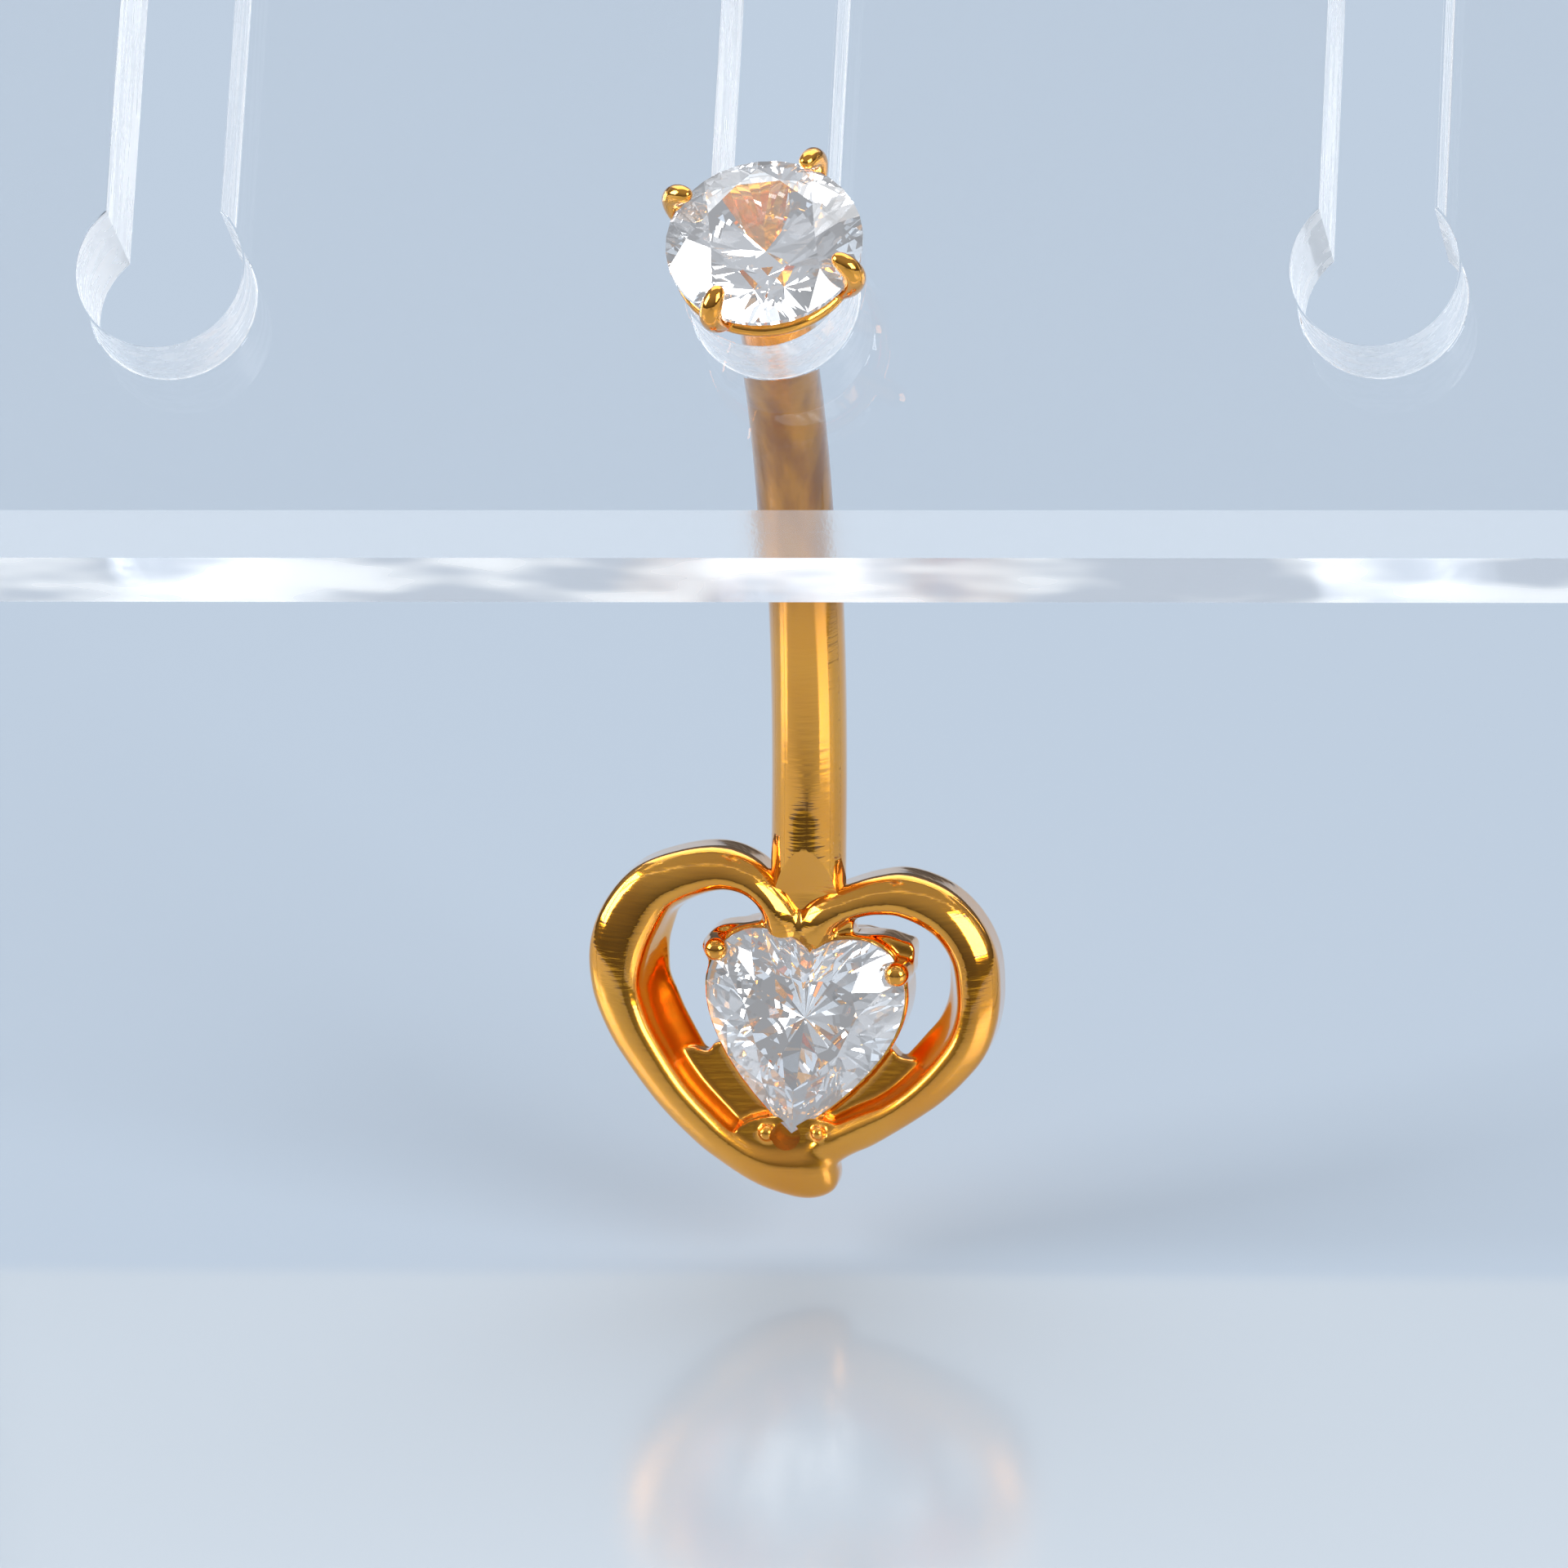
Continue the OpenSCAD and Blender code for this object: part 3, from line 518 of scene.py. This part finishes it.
def wall_round(outer, inner, front, back_):
    """A thin wall between two outlines of as many points, each of its rings a small four-cornered section."""
    rings = np.stack([np.insert(outer, 1, front, axis=1), np.insert(outer, 1, back_, axis=1),
                      np.insert(inner, 1, back_, axis=1), np.insert(inner, 1, front, axis=1)], 1)
    steps = len(rings)
    points = rings.reshape(-1, 3)
    i, k = np.meshgrid(np.arange(steps), np.arange(4), indexing="ij")
    m, n = (i + 1) % steps, (k + 1) % 4
    squares = np.stack([i * 4 + k, i * 4 + n, m * 4 + n, m * 4 + k], -1)
    return outward(points, squares.reshape(-1, 4).tolist())


def ball_claw(at, r, front, back_, reach):
    """A round rod from back to front, closed by a ball of radius r that leans in over the stone by reach."""
    turn = np.linspace(0, 2 * math.pi, 32, endpoint=False)
    lift = np.radians(np.linspace(0, 90, 12))
    depth = np.concatenate([[back_], np.linspace(back_, front + r, 8)[1:], front - r * np.sin(lift)])
    wide = np.concatenate([np.full(8, 0.94 * r), np.append(r * np.cos(lift[:-1]), 0.02 * r)])
    shift = np.clip((front + 1.6 * r - depth) / (1.6 * r), 0, 1)
    inward = STONE_MIDDLE - at
    inward = inward / np.linalg.norm(inward) * reach
    return tube(np.stack([at[0] + shift[:, None] * inward[0] + wide[:, None] * np.cos(turn)[None],
                          np.broadcast_to(depth[:, None], (len(depth), 32)),
                          at[1] + shift[:, None] * inward[1] + wide[:, None] * np.sin(turn)[None]], -1))


# Outlines of the metal between the bands: x as a share of the heart's width, z of its height
LOWER_WEB = [
    (-0.31, -0.14), (-0.272, -0.095), (-0.226, -0.102), (-0.198, -0.070), (-0.05, -0.10),
    (0.08, -0.06), (0.19, -0.008), (0.213, -0.026), (0.236, -0.050), (0.266, -0.053), (0.33, -0.07),
    (0.30, -0.11), (0.217, -0.205), (0.115, -0.288), (0.02, -0.40),
    (-0.104, -0.376), (-0.209, -0.301), (-0.302, -0.207)]
CLEFT_WEB = [
    (-0.112, 0.370), (-0.125, 0.330), (-0.126, 0.300), (-0.150, 0.270), (-0.10, 0.20), (0.08, 0.20),
    (0.120, 0.275), (0.099, 0.296), (0.096, 0.330), (0.100, 0.372), (0.02, 0.345), (-0.040, 0.340)]
TIP_BLOCK = [
    (-0.128, -0.292), (-0.13, -0.36), (-0.05, -0.38), (0.04, -0.38), (0.10, -0.34), (0.115, -0.30),
    (0.125, -0.262), (0.06, -0.24), (-0.06, -0.25)]
LEFT_ROOT = [
    (-0.262, 0.208), (-0.232, 0.266), (-0.171, 0.288), (-0.11, 0.302),
    (-0.11, 0.24), (-0.18, 0.18), (-0.225, 0.155)]
RIGHT_ROOT = [
    (0.09, 0.288), (0.165, 0.303), (0.211, 0.295), (0.246, 0.278),
    (0.243, 0.190), (0.21, 0.165), (0.09, 0.25)]
# Claws. Columns: x as a share of the heart's width, z of its height, and the ball's width and its reach over
# the stone as shares of the bead's width
BALL_CLAWS = [
    (-0.228, 0.225, 1.00, 0.16),
    (0.224, 0.216, 1.04, 0.16),
    (-0.057, -0.296, 0.68, 0.05),
    (0.066, -0.278, 0.60, 0.05)]


def web(shape, front, back_):
    """A plate at shares of the heart's depth, whose outline is a smooth curve through the corners."""
    outline = through(shape, np.arange(0, len(shape), 0.25), closed=True) * (HEART_W, HEART_H)
    return plate(outline, front * DEPTH, back_ * DEPTH, STONE_AT)


basket = wall_round(stone_outline(40, BASKET_WALL / 4), stone_outline(40, -0.75 * BASKET_WALL),
                    -GIRDLE_OUT + 0.13, BASKET_BACK)
# The rim is the wall's upper part, from the stone's left shoulder over the cleft to the right one
rim_outer = stone_outline(40, 0.045 * STONE_R)
rim_inner = stone_outline(40, -0.4 * BASKET_WALL)
order = np.roll(np.arange(len(rim_outer)), len(rim_outer) // 4)
order = order[rim_outer[order, 1] > 0.70 * STONE_R]
rim = plate(np.concatenate([rim_outer[order], rim_inner[order][::-1]]), -GIRDLE_OUT, 0.0, STONE_AT)
claws = [ball_claw(np.array([x * HEART_W, z * HEART_H]), size * BEAD_D / 2, -GIRDLE_OUT - 0.5 * CROWN,
                   0.4 * BASKET_BACK, reach * BEAD_D) for x, z, size, reach in BALL_CLAWS]
claws = [(points + STONE_AT, faces) for points, faces in claws]
heart = as_object("cast_heart", [
    band(LEFT_BAND, 260), band(RIGHT_BAND, 220), (basket[0] + STONE_AT, basket[1]), rim,
    web(LOWER_WEB, 0.02, 0.44), web(CLEFT_WEB, -0.22, 0.40), web(TIP_BLOCK, -0.40, 0.42),
    web(LEFT_ROOT, -0.16, 0.48), web(RIGHT_ROOT, -0.16, 0.48)] + claws)


def one_skin(thing, grid, rounds):
    """One closed skin round all shells of the thing, found on a grid of cubes, then smoothed in rounds."""
    joined = thing.modifiers.new("joined", "REMESH")
    joined.mode = "VOXEL"
    joined.voxel_size = grid
    rub = thing.modifiers.new("rub", "SMOOTH")
    rub.factor = 0.5
    rub.iterations = rounds
    return finished(thing)


def stone_room(grown):
    """The stone's seat: its outline at the girdle, drawn in to the table in front and to a point behind."""
    outline = stone_outline(8, grown)
    upper, lower = GIRDLE_OUT + GIRDLE_HALF, GIRDLE_OUT - GIRDLE_HALF
    sections = [(STONE_TABLE, upper + CROWN + grown), (1.0, upper), (1.0, lower),
                (0.45, lower - 0.60 * (PAVILION + grown)), (0.01, lower - PAVILION - grown)]
    points, faces = tube([np.insert((outline - STONE_MIDDLE) * share + STONE_MIDDLE, 1, -depth, axis=1)
                          for share, depth in sections])
    return points + STONE_AT, faces


def worked_soft(thing, near, rounds):
    """Smooths the mesh for so many rounds, by a weight from 0 to 1 that near gives from the points."""
    points = np.empty(len(thing.data.vertices) * 3)
    thing.data.vertices.foreach_get("co", points)
    weights = near(points.reshape(-1, 3))
    group = thing.vertex_groups.new(name="soft")
    for share in np.linspace(0.1, 1.0, 10):
        chosen = np.nonzero(np.round(weights, 1) == round(share, 1))[0]
        group.add(chosen.tolist(), share, "REPLACE")
    rub = thing.modifiers.new("rub", "SMOOTH")
    rub.factor = 0.5
    rub.iterations = rounds
    rub.vertex_group = "soft"
    finished(thing).vertex_groups.clear()


def at_tail(p):
    """1 below the bands' meeting and right of the left band, and 0 elsewhere, with a soft edge between."""
    return np.clip((-2.25 - p[:, 2]) / 0.25, 0, 1) * np.clip((p[:, 0] + 1.0) / 0.6, 0, 1)


def at_cleft(p):
    """1 in front round the cleft, and 0 elsewhere, with a soft edge between."""
    aside = np.abs(p[:, 0] + 0.25)
    return (np.clip((p[:, 2] - 1.75) / 0.3, 0, 1) * np.clip((1.0 - aside) / 0.4, 0, 1)
            * np.clip(-p[:, 1] / 0.2, 0, 1))


# The tail is filed and polished into one rounded mass, and the bands' meeting at the cleft a little
one_skin(heart, grid=0.045, rounds=8)
worked_soft(heart, at_tail, rounds=45)
worked_soft(heart, at_cleft, rounds=10)

# What is cut out of the casting: the open back of the basket, the round recess and the stone's own room
opening = as_object("opening", [
    plate(stone_outline(24, -0.75 * BASKET_WALL), -GIRDLE_OUT + 0.05, 2.0, STONE_AT)])
turn = np.linspace(0, 2 * math.pi, 48, endpoint=False)
recess_outline = np.stack([RECESS_R * np.cos(turn) - 0.012 * HEART_W,
                           RECESS_R * np.sin(turn) - 0.299 * HEART_H], -1)
recess = as_object("recess", [plate(recess_outline, -1.5, 0.0, STONE_AT)])
room = as_object("stone_room", [stone_room(SEAT_PLAY)])
heart = cut(heart, opening, recess, room)
put(heart, HEART_TURN, HEART_AT)
gold.on(heart)
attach(heart, "root")
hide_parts("bar_and_heart")

# Heart stone.
# A clear white cut stone, set flush in its basket under two ball claws and two small posts.
# Both stones take a faint bluish white glow, painted light that brightens their facets
stone = Finish("clear_stone", Transmission_Weight=1.0, IOR=2.15, Roughness=0.0,
               Base_Color=(1.0, 1.0, 1.0, 1.0), Emission_Color=(0.93, 0.95, 1.0, 1.0),
               Emission_Strength=0.055)
stone.lets_light_through((0.9, 0.9, 0.9))
stone.on(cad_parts["heart_stone"])

# Top setting.
# Four claws of round wire on a small plate, joined below the girdle by a round gallery wire and soldered. A
# post under the plate is fixed in the drilled end of the bar. It is polished and plated as the heart is.
ROUND_D = 4.1
CLAW_D = 0.44
CLAW_TURN = -24.0
GALLERY_DROP = 0.54
GALLERY_D = 0.3
GALLERY_AT = 0.88
BASE_T = 0.34
BASE_AT = 0.03
ROUND_TABLE = 0.57
ROUND_GIRDLE_HALF = 0.05
ROUND_PLAY = 0.03
TIP_GAP = 0.06
BASE_SHARE = 0.42
CROWN_ANGLE = 34.0
PAVILION_ANGLE = 40.0
round_r = ROUND_D / 2
crown_slope = math.tan(math.radians(CROWN_ANGLE))
crown_h = round_r * (1 - ROUND_TABLE) * crown_slope
pavilion_h = round_r * math.tan(math.radians(PAVILION_ANGLE))
seat_h = ROUND_GIRDLE_HALF + pavilion_h + TIP_GAP + BASE_T + BASE_AT

# Rows of a claw: radius and height as shares of the round stone's radius, and wire as a share of its diameter
CLAW_ROWS = [
    (0.26, -0.95, 0.72), (0.40, -0.80, 0.94), (0.52, -0.62, 1.00), (0.66, -0.45, 1.04),
    (0.83, -0.275, 1.12), (0.99, -0.10, 1.16), (1.055, 0.06, 1.14), (1.03, 0.18, 1.06),
    (0.95, 0.252, 0.94), (0.87, 0.280, 0.72), (0.835, 0.286, 0.42), (0.82, 0.288, 0.12)]


def wire_claw(turn):
    """Round wire carried along a claw's path from plate to girdle, in a plane turned about the bar."""
    at = np.linspace(0, len(CLAW_ROWS) - 1, 72)
    row = through(CLAW_ROWS, at)
    along = through(CLAW_ROWS, np.minimum(at + 0.05, len(CLAW_ROWS) - 1)) - through(
        CLAW_ROWS, np.maximum(at - 0.05, 0))
    along = along[:, :2] / np.linalg.norm(along[:, :2], axis=1, keepdims=True)
    a = np.linspace(0, 2 * math.pi, 28, endpoint=False)[None]
    r = (row[:, 2] * CLAW_D / 2)[:, None]
    rings = np.stack([row[:, :1] * round_r + r * np.cos(a) * along[:, 1:], -r * np.sin(a),
                      row[:, 1:2] * round_r - r * np.cos(a) * along[:, :1] + seat_h], -1)
    points, faces = tube(rings)
    return points @ turned("Z", turn).T, faces


def turned_shape(profile, sides=96):
    """A closed surface of turning: each row of the profile is a radius and a height about the bar's axis."""
    a = np.linspace(0, 2 * math.pi, sides, endpoint=False)[None]
    profile = np.asarray(profile, float)
    return tube(np.stack([profile[:, :1] * np.cos(a), profile[:, :1] * np.sin(a),
                          np.broadcast_to(profile[:, 1:], (len(profile), sides))], -1))


def gallery():
    """A ring of round wire below the girdle: a small circle carried round a large one."""
    a = np.linspace(0, 2 * math.pi, 160, endpoint=False)[:, None]
    b = np.linspace(0, 2 * math.pi, 24, endpoint=False)[None]
    r = GALLERY_AT * round_r + GALLERY_D / 2 * np.cos(b)
    lift = seat_h - GALLERY_DROP + GALLERY_D / 2 * np.sin(b)
    points = np.stack([r * np.cos(a), r * np.sin(a), np.broadcast_to(lift, (160, 24))], -1)
    i, k = np.meshgrid(np.arange(160), np.arange(24), indexing="ij")
    m, n = (i + 1) % 160, (k + 1) % 24
    squares = np.stack([i * 24 + k, m * 24 + k, m * 24 + n, i * 24 + n], -1)
    return outward(points.reshape(-1, 3), squares.reshape(-1, 4).tolist())


base_r = BASE_SHARE * round_r
setting = as_object("top_claws", [wire_claw(CLAW_TURN + 90 * k) for k in range(4)] + [
    gallery(),
    turned_shape([(POST_R - 0.05, -POST_LEN), (POST_R, -POST_LEN + 0.05), (POST_R, 0.1), (0.3, 0.25)]),
    turned_shape([(base_r - 0.04, BASE_AT), (base_r, BASE_AT + 0.04), (base_r, BASE_T - 0.05),
                  (base_r - 0.08, BASE_AT + BASE_T)])])
g, r = ROUND_GIRDLE_HALF + ROUND_PLAY, round_r + ROUND_PLAY
round_room = as_object("round_room", [turned_shape([
    (0.01, seat_h - g - pavilion_h), (r, seat_h - g), (r, seat_h + g),
    (r - crown_h / crown_slope, seat_h + g + crown_h)])])
setting = cut(one_skin(setting, grid=0.03, rounds=5), round_room)
bent = math.radians(BEND_ANGLE)
bar_end = np.array([0, BEND_R * (math.cos(bent) - 1) - BAR_TOP * math.sin(bent),
                    BAR_LOW + BEND_R * math.sin(bent) + BAR_TOP * math.cos(bent)])
put(setting, HUNG @ turned("X", BEND_ANGLE), RING + HUNG @ bar_end)
gold.on(setting)
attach(setting, "root")
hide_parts("top_setting")

# Top stone.
# A round clear brilliant with a pointed back, held over its girdle by the four claws.
# The same clear finish, with its faint painted glow
stone.on(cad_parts["top_stone"])

# Slanted panel.
# A clear acrylic sheet, laid at 45 degrees, with three sawn keyholes. Its faces are as cast, its saw cuts are
# rough and streaked and a little white from a faint painted glow, and its lower edge has a matt bevel with a
# faint painted glow over a rough polished end whose glow and bright streaks are painted light.
SHEET_T = 3.0
PITCH = 12.7
KEYHOLE_R = 1.75
SLOT_W = 2.4
SLOT_LEN = 10.0
EDGE_BELOW = 5.4
BEVEL_DEPTH = 0.4
LOW_END = 6.3
HIGH_END = 17.2
SHEET_W = 48.4
CORNER_R = 2.0
SOFT_EDGE = 0.05
SLANT = 45.0


def arc_points(middle, r, start, end, count):
    """Points on a circle round the middle, from one angle in degrees to another."""
    a = np.radians(np.linspace(start, end, count))
    return np.stack([middle[0] + r * np.cos(a), middle[1] + r * np.sin(a)], -1)


half = SHEET_W / 2
outline = np.concatenate([
    [(-half, -LOW_END), (half, -LOW_END)],
    arc_points((half - CORNER_R, HIGH_END - CORNER_R), CORNER_R, 0, 90, 12),
    arc_points((-half + CORNER_R, HIGH_END - CORNER_R), CORNER_R, 90, 180, 12)])
meet = math.degrees(math.asin(SLOT_W / 2 / KEYHOLE_R))
keyhole = np.concatenate([
    arc_points((0, 0), KEYHOLE_R, 90 + meet, 450 - meet, 72),
    arc_points((0, SLOT_LEN), SLOT_W / 2, 0, 180, 32)])
flat = bpy.data.curves.new("sheet_outline", "CURVE")
flat.dimensions = "2D"
flat.fill_mode = "BOTH"
flat.extrude = SHEET_T / 2 - SOFT_EDGE
flat.bevel_depth = SOFT_EDGE
flat.bevel_resolution = 2
flat.offset = -SOFT_EDGE
for points in [outline] + [keyhole + (side * PITCH, 0) for side in (-1, 0, 1)]:
    line = flat.splines.new("POLY")
    line.points.add(len(points) - 1)
    flat_points = np.column_stack([points, np.zeros(len(points)), np.ones(len(points))])
    line.points.foreach_set("co", flat_points.ravel())
    line.use_cyclic_u = True
drawn = bpy.data.objects.new("sheet_outline", flat)
bpy.context.scene.collection.objects.link(drawn)
graph = bpy.context.evaluated_depsgraph_get()
graph.update()
panel = bpy.data.objects.new("clear_panel", bpy.data.meshes.new_from_object(drawn.evaluated_get(graph)))
bpy.context.scene.collection.objects.link(panel)
bpy.data.objects.remove(drawn)
welded = panel.modifiers.new("welded", "WELD")
welded.merge_threshold = 0.0005
bevel_tool = as_object("bevel_tool", [tube(np.stack([
    np.stack([np.full(4, x), [-EDGE_BELOW, -LOW_END, -LOW_END - 1, -EDGE_BELOW],
              SHEET_T / 2 + np.array([0, -BEVEL_DEPTH, 1, 1])], -1) for x in (-SHEET_W, SHEET_W)]))])
panel = cut(finished(panel), bevel_tool)
shape = bmesh.new()
shape.from_mesh(panel.data)
bmesh.ops.recalc_face_normals(shape, faces=shape.faces)
shape.to_mesh(panel.data)
shape.free()

acrylic = Finish("clear_acrylic", Transmission_Weight=1.0, IOR=1.49, Roughness=0.0,
                 Base_Color=(0.985, 0.99, 0.995, 1.0))
acrylic.lets_light_through((1.0, 1.0, 1.0))
# The saw cuts' rough streaks are their own, and their faint white glow is painted light
sawn = Finish("sawn_acrylic", Transmission_Weight=0.45, IOR=1.49, Base_Color=(0.93, 0.95, 0.98, 1.0),
              Emission_Color=(0.93, 0.97, 1.0, 1.0), Emission_Strength=0.10)
streaks = sawn.cloud(2600.0, 3.0, (1.0, 0.10, 1.0), (-math.radians(SLANT), 0.0, 0.0))
sawn.feed("Roughness", 0.12 + 0.35 * streaks.between(0.35, 0.7))
sawn.relief(streaks, 0.4, 0.00002)
sawn.lets_light_through((1.0, 1.0, 1.0))
# The bevel is matt and bumpy, and is made paler by a faint glow that is painted light
matt = Finish("matt_bevel", Transmission_Weight=0.85, IOR=1.49, Roughness=0.22,
              Base_Color=(0.95, 0.97, 0.99, 1.0), Emission_Color=(0.93, 0.97, 1.0, 1.0),
              Emission_Strength=0.10)
matt.relief(matt.cloud(9000.0, 2.0), 0.3, 0.00001)
matt.lets_light_through((1.0, 1.0, 1.0))
# Painted light: the end glows, and bands that are whiter in colour and glow stand for its bright streaks; its
# scratches and rougher streaks are its own
glowing_end = Finish("streaked_end_with_painted_glow", Transmission_Weight=0.35, IOR=1.49, Emission_Strength=0.42)
streaks_and_glow = glowing_end.cloud(420.0, 2.0, (0.5, 1.0, 1.0))
glowing_end.feed("Base Color", glowing_end.blend(streaks_and_glow.between(0.42, 0.6), (0.74, 0.77, 0.82), (1.0, 1.0, 1.0)))
glowing_end.feed("Emission Color", glowing_end.blend(streaks_and_glow.between(0.40, 0.58), (0.50, 0.54, 0.60), (0.97, 0.99, 1.0)))
scratches = glowing_end.cloud(9000.0, 2.0, (0.5, 0.08, 1.0), (0.0, 0.0, math.radians(60)))
glowing_end.feed("Roughness", 0.10 + 0.30 * streaks_and_glow.between(0.4, 0.65))
glowing_end.relief(scratches, 0.25, 0.00001)
glowing_end.lets_light_through((1.0, 1.0, 1.0))

# Which finish each face takes: 0 the sheet's two faces, 1 its sawn walls, 2 the bevel, 3 the lower end
mesh = panel.data
middles = np.empty(len(mesh.polygons) * 3)
normals = np.empty(len(mesh.polygons) * 3)
mesh.polygons.foreach_get("center", middles)
mesh.polygons.foreach_get("normal", normals)
middles, normals = middles.reshape(-1, 3), normals.reshape(-1, 3)
kinds = np.zeros(len(middles), int)
kinds[np.abs(normals[:, 2]) < 0.5] = 1
kinds[(normals[:, 2] > 0.5) & (normals[:, 2] < 0.97) & (middles[:, 1] < -EDGE_BELOW)] = 2
kinds[(normals[:, 1] < -0.7) & (middles[:, 1] < -EDGE_BELOW)] = 3
laid = turned("X", SLANT)
put(panel, laid, np.array(keyhole_at) + laid @ np.array([0, 0, -SHEET_T / 2]), crease=10.0)
for finish in (acrylic, sawn, matt, glowing_end):
    panel.data.materials.append(finish.material)
panel.data.polygons.foreach_set("material_index", kinds)
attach(panel, "root")
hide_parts("slanted_panel")

# Cheeks.
# Two upright pieces of the same clear acrylic, cemented under the ends of the slanted sheet.
for node in ("left_cheek", "right_cheek"):
    acrylic.on(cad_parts[node])

# Floor.
# A plain pale base, matt but for a glossy patch in front of the heart's foot, and a little greyer behind it.
FLOOR_HALF = 3.0
floor_mesh = bpy.data.meshes.new("floor")
floor_mesh.from_pydata([(x * FLOOR_HALF, y * FLOOR_HALF, 0) for x, y in ((-1, -1), (1, -1), (1, 1), (-1, 1))],
                       [], [(0, 1, 2, 3)])
floor = bpy.data.objects.new("floor", floor_mesh)
bpy.context.scene.collection.objects.link(floor)
ground = Finish("pale_floor", Specular_IOR_Level=0.1, Roughness=0.8, Coat_IOR=1.7, Coat_Roughness=0.16)
beyond = ground.axis("Y").between(-0.0045, -0.0035)
ground.feed("Base Color", ground.blend(beyond, (0.475, 0.54, 0.61), (0.42, 0.49, 0.575)))
across = ground.axis("X")
near_middle = across.between(-0.06, -0.02) * (1 - across.between(0.02, 0.06))
ground.feed("Coat Weight", (1 - beyond) * near_middle)
ground.on(floor)

# Light.
# A large soft box high behind, a smaller one at either side in front, and a dim room that is paler above.
LAMPS_AIM = Vector((0.0, -0.003, 0.014))


def soft_box(name, where, size, power):
    """A rectangular lamp of so many metres and watts that points at the heart."""
    light = bpy.data.lights.new(name, "AREA")
    light.shape = "RECTANGLE"
    light.size, light.size_y = size
    light.energy = power
    lamp = bpy.data.objects.new(name, light)
    lamp.location = where
    lamp.rotation_euler = (LAMPS_AIM - Vector(where)).to_track_quat("-Z", "Y").to_euler()
    bpy.context.scene.collection.objects.link(lamp)


soft_box("overhead", (0.0, 0.62, 0.85), (1.5, 1.0), 8.4)
soft_box("left_box", (-0.84, -0.20, 0.46), (0.50, 0.52), 6.5)
soft_box("right_box", (0.74, -0.54, 0.46), (0.60, 0.52), 5.6)
room_light = bpy.data.worlds.new("room")
room_light.use_nodes = True
sky = room_light.node_tree
upward = sky.nodes.new("ShaderNodeSeparateXYZ")
sky.links.new(sky.nodes.new("ShaderNodeTexCoord").outputs["Generated"], upward.inputs[0])
shades = sky.nodes.new("ShaderNodeValToRGB")
shades.color_ramp.elements[0].position = 0.05
shades.color_ramp.elements[0].color = (0.09, 0.095, 0.10, 1.0)
shades.color_ramp.elements[1].position = 0.75
shades.color_ramp.elements[1].color = (0.36, 0.385, 0.42, 1.0)
sky.links.new(upward.outputs["Z"], shades.inputs[0])
sky.links.new(shades.outputs[0], sky.nodes["Background"].inputs["Color"])
bpy.context.scene.world = room_light
bpy.context.scene.view_settings.view_transform = "Standard"
